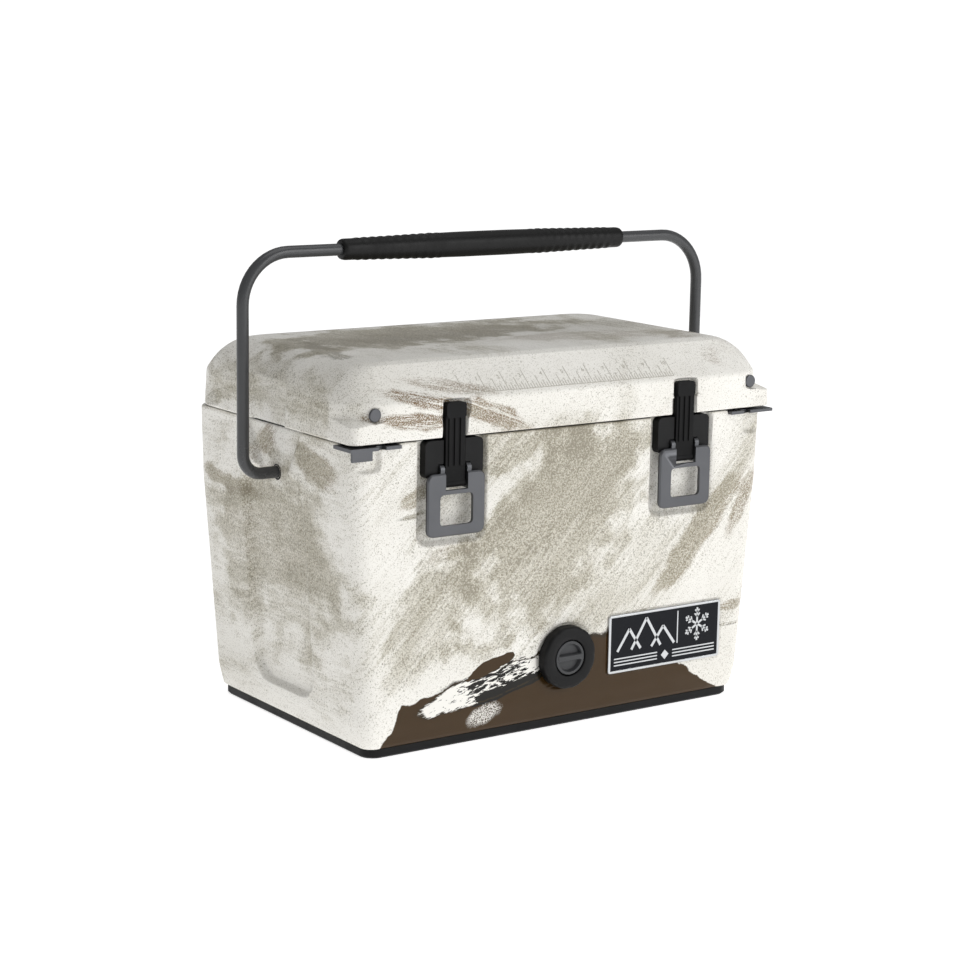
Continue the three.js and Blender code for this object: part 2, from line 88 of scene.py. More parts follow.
class ShellSettings(bpy.types.PropertyGroup):
    """Sizes and colours of the moulded shell and its print"""

    base_hex: StringProperty(name="Base colour", description="Off-white of the bare shell", default="#F1EFE9")
    speckle_hex: StringProperty(name="Speckle colour", description="Fine printed grains", default="#8F8875")
    streak_hex: StringProperty(name="Streak colour", description="Dry-brush strokes", default="#6E4E1E")
    earth_hex: StringProperty(name="Earth colour", description="Brown ground at the foot", default="#3A2709")
    ink_hex: StringProperty(name="Ink colour", description="Torn dark edges", default="#14120E")
    grain_mm: FloatProperty(name="Grain", description="Size of one printed grain in mm", default=1.1, min=0.2)
    samples: IntProperty(name="Samples", description="Grid columns across the front", default=220, min=60)


class HandleSettings(bpy.types.PropertyGroup):
    """Sizes and colours of the bail handle"""

    rod_radius: FloatProperty(name="Rod", description="Radius of the bent rod", default=6 * MM, unit="LENGTH")
    foot_bend: FloatProperty(name="Foot", description="Bend into the pivot", default=20 * MM, unit="LENGTH")
    top_bend: FloatProperty(name="Top", description="Bend below the grip", default=50 * MM, unit="LENGTH")
    ridge_height: FloatProperty(name="Ridges", description="Ridge height", default=0.7 * MM, unit="LENGTH")
    rod_hex: StringProperty(name="Rod colour", description="Powder coat on the rod", default="#3C3D3F")
    grip_hex: StringProperty(name="Grip colour", description="Rubber of the grip", default="#070707")


class TrimSettings(bpy.types.PropertyGroup):
    """Edge softness and colours of the small hardware"""

    edge: FloatProperty(name="Edge", description="Width of softened edges", default=0.5 * MM, unit="LENGTH")
    metal_hex: StringProperty(name="Cast metal", description="Blasted zinc of the levers", default="#5F6063")
    plastic_hex: StringProperty(name="Black plastic", description="Nylon trim", default="#0A0A0B")
    rubber_hex: StringProperty(name="Strap rubber", description="Latch straps", default="#070708")
    knob_hex: StringProperty(name="Drain plug", description="Grey nylon plug", default="#3B3C3E")


class StudioSettings(bpy.types.PropertyGroup):
    """Camera and light"""

    azimuth: FloatProperty(name="Azimuth", description="Camera swing left of the front", default=35.010)
    elevation: FloatProperty(name="Elevation", description="Camera height angle", default=10.977)
    roll: FloatProperty(name="Roll", description="Camera roll", default=0.972)
    distance: FloatProperty(name="Distance", description="To target", default=96.167 * INCH, unit="LENGTH")
    lens: FloatProperty(name="Lens", description="Focal length in mm", default=87.365)
    target: FloatVectorProperty(name="Target", description="Point looked at", size=3,
                                default=(-0.180 * INCH, -0.804 * INCH, 8.762 * INCH))


# ---------------------------------------------------------------- mesh helpers


def smoothstep(edge0, edge1, x):
    """0 below edge0, 1 above edge1 and the cubic 3t^2 - 2t^3 between them."""
    t = np.clip((x - edge0) / (edge1 - edge0), 0, 1)
    return t * t * (3 - 2 * t)


def mesh_object(name, points, faces, material, smooth=True):
    """One mesh object at the origin, points in millimetres."""
    mesh = bpy.data.meshes.new(name)
    mesh.from_pydata((np.asarray(points) * MM).tolist(), [], [list(face) for face in faces])
    mesh.polygons.foreach_set("use_smooth", [smooth] * len(mesh.polygons))
    mesh.update()
    made = bpy.data.objects.new(name, mesh)
    bpy.context.collection.objects.link(made)
    mesh.materials.append(material)
    return made


def ring_faces(levels, count):
    """Quads between each ring of count points and the next, then a fan of triangles to a pole at each end.
    The poles are the last two points."""
    i = np.arange(count)
    j = (i + 1) % count
    base = np.arange(levels - 1)[:, None] * count
    quads = np.stack([base + i, base + j, base + count + j, base + count + i], -1).reshape(-1, 4)
    low, high = levels * count, levels * count + 1
    last = (levels - 1) * count
    start = np.stack([np.full(count, low), j, i], -1)
    end = np.stack([np.full(count, high), last + i, last + j], -1)
    return quads.tolist() + start.tolist() + end.tolist()


def ring_object(name, rings, material):
    """A closed skin over rings[level, point, xyz]; each end is closed on the middle of its ring."""
    levels, count, _ = rings.shape
    poles = np.stack([rings[0].mean(0), rings[-1].mean(0)])
    points = np.concatenate([rings.reshape(-1, 3), poles])
    return mesh_object(name, points, ring_faces(levels, count), material)


def sharpen(made, degrees=35):
    """Faces meeting at more than this angle keep a crisp edge, the rest shade smoothly."""
    made.data.set_sharp_from_angle(angle=math.radians(degrees))
    return made


def refined(node, material, edge, segments=2):
    """A merged copy of a frame node with softened edges, standing for the node."""
    source = frame["nodes"][node]
    mesh = source.data.copy()
    mesh.materials.clear()
    grid = bmesh.new()
    grid.from_mesh(mesh)
    bmesh.ops.remove_doubles(grid, verts=grid.verts, dist=2e-6)
    bmesh.ops.dissolve_limit(grid, angle_limit=math.radians(0.5), verts=grid.verts, edges=grid.edges)
    grid.to_mesh(mesh)
    grid.free()
    mesh.materials.append(material)
    mesh.polygons.foreach_set("use_smooth", [True] * len(mesh.polygons))
    made = bpy.data.objects.new(f"{node}_finish", mesh)
    bpy.context.collection.objects.link(made)
    soften(made, edge, segments)
    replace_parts(made, node)
    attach(made, body_of_node(node))
    return made


def soften(made, edge, segments=2):
    """Rounds every edge sharper than 38 degrees and keeps the flats flat."""
    bevel = made.modifiers.new("soft edges", "BEVEL")
    bevel.width = edge
    bevel.segments = segments
    bevel.limit_method = "ANGLE"
    bevel.angle_limit = math.radians(38)
    bevel.use_clamp_overlap = True
    weighted = made.modifiers.new("flat faces stay flat", "WEIGHTED_NORMAL")
    weighted.weight = 100
    weighted.keep_sharp = True
    return made


def body_of_node(node):
    """The frame body that carries a node."""
    for body, nodes in frame["record"]["behaviour"]["bodies"].items():
        if node in nodes:
            return body
    raise ValueError(f"no body carries {node}")


def spread(low, high, count, edges, reach=5.0, boost=6.0):
    """count positions from low to high, crowded near the given edges: equal steps of the integral of
    1 plus a bell of height boost round each edge."""
    fine = np.linspace(low, high, 4000)
    density = np.ones_like(fine)
    for edge in edges:
        density += boost * np.exp(-(((fine - edge) / reach) ** 2))
    total = np.concatenate([[0], np.cumsum((density[1:] + density[:-1]) / 2)])
    return np.interp(np.linspace(0, total[-1], count), total, fine)


def pocket_mask(a, b, centre, half, radius, bevel):
    """1 inside a rounded rectangle, falling to 0 over the bevel width outside its floor: a smooth step of the
    rounded-box distance."""
    qx = np.abs(a - centre[0]) - (half[0] - radius)
    qy = np.abs(b - centre[1]) - (half[1] - radius)
    distance = np.hypot(np.maximum(qx, 0), np.maximum(qy, 0)) + np.minimum(np.maximum(qx, qy), 0) - radius
    return 1 - smoothstep(0, bevel, distance)


# ---------------------------------------------------------------- rounded rings


class RingLayout:
    """Where the points of a rounded-rectangle ring fall, the same on every ring of a skin.
    Each point lies on corner a at one angle, on corner b at another, or between the two along a straight."""

    def __init__(self, front, back, end, arc_steps=14):
        signs = ((1, 1), (-1, 1), (-1, -1), (1, -1))
        a, b, angle_a, angle_b, t = [], [], [], [], []
        straights = (back, end, front, end)
        for corner in range(4):
            following = (corner + 1) % 4
            start = corner * math.pi / 2
            stop = start + math.pi / 2
            for angle in np.linspace(start, stop, arc_steps, endpoint=False):
                a.append(corner), b.append(corner), angle_a.append(angle), angle_b.append(angle), t.append(0)
            for share in straights[corner][:-1]:
                a.append(corner), b.append(following), t.append(share)
                angle_a.append(stop), angle_b.append(stop)
        self.sign = np.array(signs, float)
        self.a, self.b = np.array(a), np.array(b)
        self.angle_a, self.angle_b = np.array(angle_a), np.array(angle_b)
        self.t = np.array(t)[None, :]

    def rings(self, z, hx, hy, radii):
        """Rings at heights z with half sizes hx, hy and radii[level, corner]; returns [level, point, xyz]."""
        def on_corner(which, angle):
            r = radii[:, which]
            x = self.sign[which, 0] * (hx[:, None] - r) + r * np.cos(angle)
            y = self.sign[which, 1] * (hy[:, None] - r) + r * np.sin(angle)
            return x, y
        ax, ay = on_corner(self.a, self.angle_a)
        bx, by = on_corner(self.b, self.angle_b)
        x = ax * (1 - self.t) + bx * self.t
        y = ay * (1 - self.t) + by * self.t
        return np.stack([x, y, np.broadcast_to(z[:, None], x.shape)], -1)


def shares(positions):
    """Positions along a straight as shares from 0 to 1."""
    return (positions - positions[0]) / (positions[-1] - positions[0])


def front_edges():
    """Where pockets and grooves begin and end across the front."""
    latch = [side * LATCH_X + dx for _, side in SIDES for dx in (-38, -13, 13, 38)]
    return latch + [-33, 33, PLATE_X - 74, PLATE_X + 74, -237, -221, 221, 237]


def chest_layout(count):
    """The ring layout shared by body and lid: the front is densest, and crowded at the pockets."""
    front = shares(spread(-235, 235, count, front_edges()))
    back = shares(spread(-235, 235, count // 3, [s * 150 + d for _, s in SIDES for d in (-30, 30)]))
    end = shares(spread(-140, 140, count // 2, (-57, -28, 0, 28, 57)))
    return RingLayout(front, back, end)


def follow_levels(z, levels, column, soft=5.0):
    """The straight-line profile through the levels, averaged over a small window to round creases."""
    heights = [level[0] for level in levels]
    values = [level[column] for level in levels]
    window = np.linspace(-soft, soft, 9)
    return np.mean([np.interp(z + step, heights, values) for step in window], axis=0)


# ---------------------------------------------------------------- materials


def linear(hex_colour):
    """An sRGB hex colour as linear red, green, blue and alpha."""
    values = [int(hex_colour.lstrip("#")[i:i + 2], 16) / 255 for i in (0, 2, 4)]
    return [v / 12.92 if v <= 0.04045 else ((v + 0.055) / 1.055) ** 2.4 for v in values] + [1.0]


# settings that several nodes share
SMOOTH = {"interpolation_type": "SMOOTHSTEP"}
RGBA = {"data_type": "RGBA"}
TURNED = {"vector_type": "TEXTURE"}
PLUS = {"operation": "ADD"}
MINUS = {"operation": "SUBTRACT"}
TIMES = {"operation": "MULTIPLY"}
SCALED = {"operation": "MULTIPLY_ADD"}


def add_node(tree, kind, settings=None, inputs=()):
    """One shader node with its settings. Inputs come in their order, or in a dictionary by name or place.
    An input given as a node takes that node's first live output."""
    made = tree.nodes.new("ShaderNode" + kind)
    for key, value in (settings or {}).items():
        setattr(made, key, value)
    for key, value in inputs.items() if isinstance(inputs, dict) else enumerate(inputs):
        if isinstance(value, bpy.types.Node):
            value = next(socket for socket in value.outputs if socket.enabled)
        if isinstance(value, bpy.types.NodeSocket):
            tree.links.new(value, made.inputs[key])
        else:
            made.inputs[key].default_value = value
    return made


def new_material(name, colour, metallic=0.0, roughness=0.5, **sockets):
    """A Principled material and its tree and shader."""
    material = bpy.data.materials.new(name)
    material.use_nodes = True
    tree = material.node_tree
    shader = tree.nodes["Principled BSDF"]
    shader.inputs["Base Color"].default_value = linear(colour)
    shader.inputs["Metallic"].default_value = metallic
    shader.inputs["Roughness"].default_value = roughness
    for key, value in sockets.items():
        shader.inputs[key.replace("_", " ")].default_value = value
    material.diffuse_color = linear(colour)
    return material, tree, shader


def grain_bump(tree, shader, size_mm, depth_mm, detail=2.0):
    """Fine noise bumps of one grain size, read in object space."""
    place = add_node(tree, "TexCoord").outputs["Object"]
    noise = add_node(tree, "TexNoise", None, {"Vector": place, "Scale": 1 / (size_mm * MM), "Detail": detail})
    bump = add_node(tree, "Bump", None, {"Strength": 0.6, "Distance": depth_mm * MM, "Height": noise})
    tree.links.new(bump.outputs["Normal"], shader.inputs["Normal"])


def mottled_roughness(tree, shader, size_mm, low, high):
    """Roughness wandering between two values, as handled surfaces do."""
    place = add_node(tree, "TexCoord").outputs["Object"]
    noise = add_node(tree, "TexNoise", None, {"Vector": place, "Scale": 1 / (size_mm * MM), "Detail": 3.0})
    gloss = add_node(tree, "MapRange", None, (noise, 0.3, 0.7, low, high))
    tree.links.new(gloss.outputs[0], shader.inputs["Roughness"])


def plain_material(name, colour, metallic, roughness, grain=0.0, depth=0.0, wander=0.06, **sockets):
    """A one-colour finish with grain and slightly uneven gloss."""
    material, tree, shader = new_material(name, colour, metallic, roughness, **sockets)
    if grain:
        grain_bump(tree, shader, grain, depth)
    mottled_roughness(tree, shader, 22.0, max(roughness - wander, 0.05), min(roughness + wander, 1.0))
    return material


# Dry-brush strokes on the shell: place, turn in degrees about X, Y and Z, half sizes, ink and depth of colour
STROKES = (
    # lid front, left of and right of the strap, and up the slope
    ((-188, -158, 327), (0, 5, 0), (52, 30, 9), "streak", 1.3),
    ((-168, -158, 344), (0, 14, 0), (60, 30, 9), "streak", 1.1),
    ((-94, -158, 326), (0, 21, 0), (46, 30, 13), "streak", 1.3),
    ((-140, -150, 355), (0, 9, 0), (66, 30, 7), "streak", 0.7),
    # left end: under the parting line, round the pivot and along the foot of the fan
    ((-250, 22, 287), (0, 40, 90), (30, 30, 17), "streak", 1.4),
    ((-250, -86, 277), (0, -12, 90), (52, 30, 19), "streak", 1.4),
    ((-250, 88, 236), (0, -7, 90), (60, 26, 11), "streak", 1.2),
    ((-254, 110, 318), (0, 20, 90), (20, 20, 9), "ink", 0.6),
    ((-242, 20, 196), (0, -8, 90), (115, 30, 55), "streak", 0.32),
    ((-246, 0, 170), (0, 0, 90), (160, 40, 120), "haze", 0.75),
    ((-250, 0, 345), (0, 0, 90), (150, 40, 34), "haze", 0.7),
    # lid top: a dark streak over the left shoulder and long grey sweeps
    ((-200, -10, 374), (0, 0, 80), (80, 15, 26), "ink", 1.3),
    ((-60, 40, 378), (0, 0, 8), (240, 75, 16), "haze", 1.3),
    ((-70, 25, 378), (0, 0, 7), (200, 55, 14), "streak", 0.6),
    ((110, -50, 378), (0, 0, -9), (150, 40, 14), "streak", 0.45),
    ((205, -95, 362), (0, 12, -30), (60, 50, 20), "streak", 0.6),
    # body front: a broad sweep up to the right, fine diagonals beside the right latch and small dashes
    ((-15, -154, 212), (0, -46, 0), (170, 30, 84), "haze", 1.15),
    ((-165, -154, 130), (0, -62, 0), (90, 30, 46), "haze", 0.75),
    ((-60, -154, 296), (0, -6, 0), (120, 30, 30), "haze", 0.6),
    ((170, -154, 184), (0, -48, 0), (100, 30, 17), "streak", 1.2),
    ((226, -152, 214), (0, -62, 0), (50, 30, 11), "streak", 0.9),
    ((-187, -154, 235), (0, -5, 0), (21, 30, 3.2), "ink", 0.95),
    ((-182, -154, 253), (0, -20, 0), (26, 30, 9), "streak", 0.9),
    ((-142, -154, 195), (0, -16, 0), (30, 30, 11), "streak", 0.45),
    ((214, -150, 99), (0, -4, 0), (22, 20, 7), "streak", 0.9),
    ((214, -150, 79), (0, -2, 0), (20, 20, 1.6), "ink", 0.9),
    # right end and back
    ((250, 30, 272), (0, -10, 90), (80, 30, 20), "streak", 0.9),
    ((246, 0, 170), (0, 0, 90), (150, 40, 110), "haze", 0.8),
    ((-60, 154, 215), (0, 40, 0), (170, 30, 80), "haze", 1.1),
    ((120, 157, 335), (0, -8, 0), (90, 30, 12), "streak", 0.9),
    ((150, 154, 170), (0, 50, 0), (90, 30, 18), "streak", 0.8),
)


def overlap(tree, *shares):
    """Shares of ink multiplied together, so that a mark shows only where all of them do."""
    return reduce(lambda left, right: add_node(tree, "Math", TIMES, (left, right)), shares)


def stroke_place(tree, place, centre, turn, half):
    """Coordinates in a stroke's own turned and stretched frame, where the stroke is the unit ball."""
    return add_node(tree, "Mapping", TURNED, {
        "Vector": place, "Location": [v * MM for v in centre],
        "Rotation": [math.radians(v) for v in turn], "Scale": [v * MM for v in half]})


def stroke_body(tree, local, ragged):
    """1 inside the unit ball, fading over its outer half with a ragged edge."""
    reach = add_node(tree, "VectorMath", {"operation": "LENGTH"}, (local,))
    reach = add_node(tree, "Math", PLUS, (reach.outputs["Value"], ragged))
    return add_node(tree, "MapRange", SMOOTH, (reach, 1.05, 0.55))


def bristles(tree, local, half, seed, long=34):
    """Thin lines along the stroke: noise squeezed so that one line is about 2 mm wide and `long` mm long."""
    lines = add_node(tree, "Mapping", None, {
        "Vector": local, "Location": (seed, seed, seed), "Scale": (half[0] / long, 3.0, half[2] / 1.9)})
    return add_node(tree, "TexNoise", None,
                    {"Vector": lines, "Scale": 1.0, "Detail": 3.0, "Roughness": 0.6, "Distortion": 0.5})


def shell_print(tree, inks, grain_mm):
    """Colour of the printed shell: off-white, hazed with two sizes of dark grain, dry-brush strokes and brown
    ground low on the front with a torn edge. Returns the colour node."""
    node = partial(add_node, tree)
    place = node("TexCoord").outputs["Object"]
    tone = node("TexNoise", None, {"Vector": place, "Scale": 7.0, "Detail": 4.0})
    tone = node("MapRange", SMOOTH, (tone, 0.35, 0.7, 0.0, 0.4))
    paint = node("Mix", RGBA, {0: tone, 6: inks["base"], 7: inks["shade"]})

    grain = node("TexNoise", None,
                 {"Vector": place, "Scale": 1 / (grain_mm * MM), "Detail": 1.0, "Roughness": 0.6})
    coarse = node("TexNoise", None,
                  {"Vector": place, "Scale": 0.55 / (grain_mm * MM), "Detail": 1.0, "Roughness": 0.7})
    wander = node("TexNoise", None, {"Vector": place, "Scale": 38.0, "Detail": 5.0})
    ragged = node("Math", SCALED, (wander, 1.5, -0.75))

    # haze lies in drags about 300 mm long and 60 mm wide that climb to the right on the front
    slant = node("Mapping", TURNED, {"Vector": place, "Scale": (0.30, 0.16, 0.060),
                                     "Rotation": [math.radians(v) for v in (-6, -42, 4)]})
    sweep = node("TexNoise", None,
                 {"Vector": slant, "Scale": 1.0, "Detail": 5.0, "Roughness": 0.55, "Distortion": 0.6})
    fine = node("Mapping", TURNED, {"Vector": place, "Scale": (0.070, 0.030, 0.0032),
                                    "Rotation": (0, math.radians(-46), 0)})
    fine = node("TexNoise", None, {"Vector": fine, "Scale": 1.0, "Detail": 2.0})
    density = node("Math", PLUS, (node("MapRange", SMOOTH, (sweep, 0.40, 0.68, 0.10, 0.72)),
                                  node("MapRange", SMOOTH, (fine, 0.3, 0.7, -0.16, 0.16))))

    broken = node("MapRange", SMOOTH, (grain, 0.40, 0.54, 0.1, 1.0))
    for index, (centre, turn, half, ink, depth) in enumerate(STROKES):
        local = stroke_place(tree, place, centre, turn, half)
        body = stroke_body(tree, local, ragged)
        share = 0.7 if ink == "haze" else 0.45
        if ink != "haze":
            worn = node("MapRange", SMOOTH, (bristles(tree, local, half, index * 3.7), 0.34, 0.52))
            cover = node("Clamp", None, (overlap(tree, body, worn, broken, depth),))
            paint = node("Mix", RGBA, {0: cover, 6: paint, 7: inks[ink]})
        density = node("Math", PLUS, (density, overlap(tree, body, depth * share)))

    # haze thins out over the pale lid band, the slope with the ruler and the foot of both front corners
    _, y, z = node("SeparateXYZ", None, (place,)).outputs
    band = overlap(tree, node("MapRange", SMOOTH, (y, -0.108, -0.122)),
                   node("MapRange", SMOOTH, (z, 0.306, 0.310)))
    foot = overlap(tree, node("MapRange", SMOOTH, (y, -0.128, -0.140)),
                   node("MapRange", SMOOTH, (z, 0.110, 0.050)))
    calm = node("Math", {"operation": "MAXIMUM"}, (band, foot))
    density = overlap(tree, density, node("MapRange", SMOOTH, (calm, 0.0, 1.0, 1.0, 0.45)))
    veil = node("MapRange", SMOOTH, (density, 0.1, 1.2, 0.0, 0.8))
    paint = node("Mix", RGBA, {0: veil, 6: paint, 7: inks["veil"]})

    # the denser the haze, the lower the level that a grain has to reach to show
    need = node("Math", SCALED, (density, -0.15, 0.64))
    for noise, start, stop, most, ink in ((grain, -0.06, 0.08, 0.6, "speckle"),
                                          (coarse, 0.03, 0.10, 0.5, "fleck")):
        over = node("Math", MINUS, (noise, need))
        dots = node("MapRange", SMOOTH, (over, start, stop, 0.0, most))
        paint = node("Mix", RGBA, {0: dots, 6: paint, 7: inks[ink]})
    return ground_print(tree, place, paint, inks, grain, wander)


def ground_print(tree, place, paint, inks, grain, wander):
    """Brown earth across the foot of the front, below a line that climbs to the right, with a white tear full
    of black bristle marks lying along that line."""
    node = partial(add_node, tree)
    x, y, z = node("SeparateXYZ", None, (place,)).outputs
    front = node("MapRange", SMOOTH, (y, -0.126, -0.132))
    jag = node("Math", SCALED, (wander, 0.022, -0.011))

    # height above the edge line, which rises 164 mm in a metre and passes 84 mm up in the middle
    level = node("Math", SCALED, (x, -0.164, z))
    height = node("Math", PLUS, (node("Math", PLUS, (level, -0.0835)), jag))
    # the ground stops short of both front corners, along two slanting ends
    left = node("Math", PLUS, (node("Math", SCALED, (z, -0.485, x)), jag))
    right = node("Math", PLUS, (node("Math", SCALED, (x, 0.63, z)), jag))
    earth = overlap(tree, node("MapRange", SMOOTH, (height, 0.0006, -0.0006)),
                    node("MapRange", SMOOTH, (left, -0.2185, -0.2170)),
                    node("MapRange", SMOOTH, (right, 0.1395, 0.1380)), front)
    paint = node("Mix", RGBA, {0: earth, 6: paint, 7: inks["earth"]})

    # a dark outline rides the top of the tear and runs on behind the nameplate
    reach = overlap(tree, node("MapRange", SMOOTH, (x, -0.165, -0.120)),
                    node("MapRange", SMOOTH, (x, 0.068, 0.050)), front)
    thick = node("MapRange", SMOOTH, (node("Math", PLUS, (height, 0.004)), 0.0075, 0.0045))
    rim = overlap(tree, reach, thick, node("MapRange", SMOOTH, (height, -0.0045, -0.002)),
                  node("MapRange", SMOOTH, (grain, 0.30, 0.42)))
    paint = node("Mix", RGBA, {0: rim, 6: paint, 7: inks["rim"]})

    half = (84, 40, 14.5)
    local = stroke_place(tree, place, (-94, -151, 56), (0, -11.5, 0), half)
    away = node("VectorMath", {"operation": "LENGTH"}, (local,)).outputs["Value"]
    edge = node("Math", PLUS, (away, overlap(tree, jag, 26.0)))
    tear = overlap(tree, node("MapRange", SMOOTH, (edge, 1.02, 0.96)), front)
    paint = node("Mix", RGBA, {0: tear, 6: paint, 7: inks["base"]})

    # bristle marks crowd together in the middle, and the lower edge of the tear is solid black there
    along, _, up = node("SeparateXYZ", None, (local,)).outputs
    lines = bristles(tree, local, half, 1.3, 9)
    middle = overlap(tree, node("MapRange", SMOOTH, (along, -0.45, -0.1)),
                     node("MapRange", SMOOTH, (along, 0.75, 0.35)))
    worn = node("Math", PLUS, (lines, overlap(tree, middle, 0.17)))
    uneven = node("Math", PLUS, (up, overlap(tree, jag, 40.0)))
    lower = overlap(tree, node("MapRange", SMOOTH, (uneven, -0.2, -0.7)),
                    node("MapRange", SMOOTH, (along, -0.25, 0.0)), 0.3)
    marks = node("MapRange", SMOOTH, (node("Math", PLUS, (worn, lower)), 0.62, 0.64))
    marks = overlap(tree, marks, node("MapRange", SMOOTH, (edge, 1.22, 1.14)),
                    node("MapRange", SMOOTH, (along, -0.95, -0.6)), front)
    paint = node("Mix", RGBA, {0: marks, 6: paint, 7: inks["ink"]})

    # a thin line follows the outline of the tear, and a brown scrap lies along its upper edge
    outline = overlap(tree, node("MapRange", SMOOTH, (edge, 0.90, 0.96)),
                      node("MapRange", SMOOTH, (edge, 1.06, 1.0)),
                      node("MapRange", SMOOTH, (lines, 0.42, 0.5)), front)
    paint = node("Mix", RGBA, {0: outline, 6: paint, 7: inks["rim"]})
    rough = overlap(tree, jag, 60.0)
    scrap = stroke_body(tree, stroke_place(tree, place, (-88, -149, 76), (0, -17, 0), (34, 30, 8)), rough)
    scrap = node("Math", PLUS, (node("Math", PLUS, (scrap, jag)), jag))
    scrap = overlap(tree, node("MapRange", SMOOTH, (scrap, 0.30, 0.36)),
                    node("MapRange", SMOOTH, (up, 0.55, 0.75)))
    paint = node("Mix", RGBA, {0: scrap, 6: paint, 7: inks["earth"]})

    # pale flecks on the brown under the tear
    patch = stroke_body(tree, stroke_place(tree, place, (-98, -149, 27), (0, -10, 0), (22, 30, 12)), rough)
    flecks = overlap(tree, patch, node("MapRange", SMOOTH, (grain, 0.44, 0.5)), 0.8)
    return node("Mix", RGBA, {0: flecks, 6: paint, 7: inks["base"]})


def shell_material(name="printed rotomoulded polyethylene"):
    """Polyethylene with a film print laid over it: a soft satin surface with a faint orange peel."""
    if name in bpy.data.materials:
        return bpy.data.materials[name]
    shell = bpy.context.scene.cooler_shell
    colours = {"base": shell.base_hex, "shade": "#DAD7CE", "veil": "#C3BEAE", "speckle": shell.speckle_hex,
               "fleck": "#6B6352", "streak": shell.streak_hex, "earth": shell.earth_hex, "rim": "#2E2412",
               "ink": shell.ink_hex}
    material, tree, shader = new_material(name, shell.base_hex, 0.0, 0.42, Specular_IOR_Level=0.28)
    paint = shell_print(tree, {key: linear(colour) for key, colour in colours.items()}, shell.grain_mm)
    tree.links.new(next(s for s in paint.outputs if s.enabled), shader.inputs["Base Color"])
    grain_bump(tree, shader, 3.2, 0.05, 1.0)
    mottled_roughness(tree, shader, 30.0, 0.36, 0.50)
    shader.inputs["IOR"].default_value = 1.5
    return material


def finishes():
    """Every other material of the chest, made once and looked up by a short key."""
    if "injection-moulded nylon" not in bpy.data.materials:
        trim = bpy.context.scene.cooler_trim
        handle = bpy.context.scene.cooler_handle
        # nylon trim: nearly black with a fine spark-eroded grain
        plain_material("injection-moulded nylon", trim.plastic_hex, 0.0, 0.5, 0.7, 0.03,
                       Specular_IOR_Level=0.22)
        # latch straps and gaskets: dull carbon-filled rubber
        plain_material("moulded EPDM rubber", trim.rubber_hex, 0.0, 0.6, 0.9, 0.03, Specular_IOR_Level=0.2)
        # grip: slightly shinier rubber worn by hands
        plain_material("overmoulded grip rubber", handle.grip_hex, 0.0, 0.46, 1.2, 0.04,
                       Specular_IOR_Level=0.25)
        # levers and plates: bead-blasted zinc alloy, soft broad highlights
        plain_material("bead-blasted zinc alloy", trim.metal_hex, 1.0, 0.44, 0.8, 0.03)
        # handle rod: steel under dark grey powder coat
        plain_material("powder-coated steel", handle.rod_hex, 0.0, 0.3, 0.6, 0.01)
        # screws and pins: bright stainless steel
        plain_material("stainless steel", "#C9CACC", 1.0, 0.26, 0.5, 0.004)
        # liner: glossy white food-safe polyethylene
        plain_material("food-grade polyethylene", "#F0F0EC", 0.0, 0.34, 4.0, 0.04)
        # foam: pale cellular polyurethane
        plain_material("polyurethane foam", "#E0D3A6", 0.0, 0.95, 2.0, 0.3)
        # drain plug: dark grey nylon
        plain_material("grey glass-filled nylon", trim.knob_hex, 0.0, 0.42, 0.8, 0.02,
                       Specular_IOR_Level=0.35)
        # nameplate: black anodised aluminium and its bright-cut raised parts
        plain_material("black anodised aluminium", "#232427", 1.0, 0.38, 0.6, 0.01)
        plain_material("bright-cut aluminium", "#C4C6C8", 1.0, 0.30, 0.6, 0.01)
        # ruler marks: grey ink pressed into the lid
        plain_material("pad-printed grey ink", "#B5B1A7", 0.0, 0.5, 1.0, 0.01)
    return bpy.data.materials


# ---------------------------------------------------------------- shell, lid and liner surfaces


def press_y(points, mask, floor):
    """Moves points toward the plane y = floor where the mask is 1, on whichever face lies outside it."""
    y = points[..., 1]
    outside = y < floor if floor < 0 else y > floor
    points[..., 1] = np.where(outside, y + (floor - y) * mask, y)


def press_x(points, mask, depth):
    """Sinks both end faces by depth where the mask is 1."""
    x = points[..., 0]
    points[..., 0] = x - np.sign(x) * depth * mask * (np.abs(x) > 215)


def body_pockets(points):
    """Latch and finger pockets, drain and nameplate seats, end panels with their fans, and hinge notches."""
    x, y, z = (points[..., i].copy() for i in range(3))
    front = y < -120
    for _, side in SIDES:
        press_y(points, front * pocket_mask(x, z, (side * LATCH_X, 263.5), (35.5, 54.5), 8, 5.5), -147.0)
        press_y(points, front * pocket_mask(x, z, (side * 239, 293), (16, 9), 4, 3.5), -149.5)
        notch = (np.abs(x - side * 150) < 30.5) & (z > 301.5)
        press_y(points, (notch & (y > 100)).astype(float), 150.7)
    press_y(points, front * pocket_mask(x, z, (0, DRAIN_Z), (33, 33), 33, 1.5), -148.5)
    press_y(points, front * pocket_mask(x, z, (PLATE_X, PLATE_Z), (74, 31.5), 4, 2), -149.6)
    panel = pocket_mask(y, z, (0, 150), (54, 107), 24, 6)
    fan = 1 - smoothstep(0, 6, np.abs(y) - 13 - (z - 243) * 0.66)
    fan = fan * smoothstep(240, 246, z)
    press_x(points, np.maximum(panel, fan) * (np.abs(y) < 90), 7.4)
    seat = (np.abs(x) > 200.7) & (y < -127.7) & (z > 302.6)
    points[..., 2] = np.where(seat, 302.6, points[..., 2])
    return points


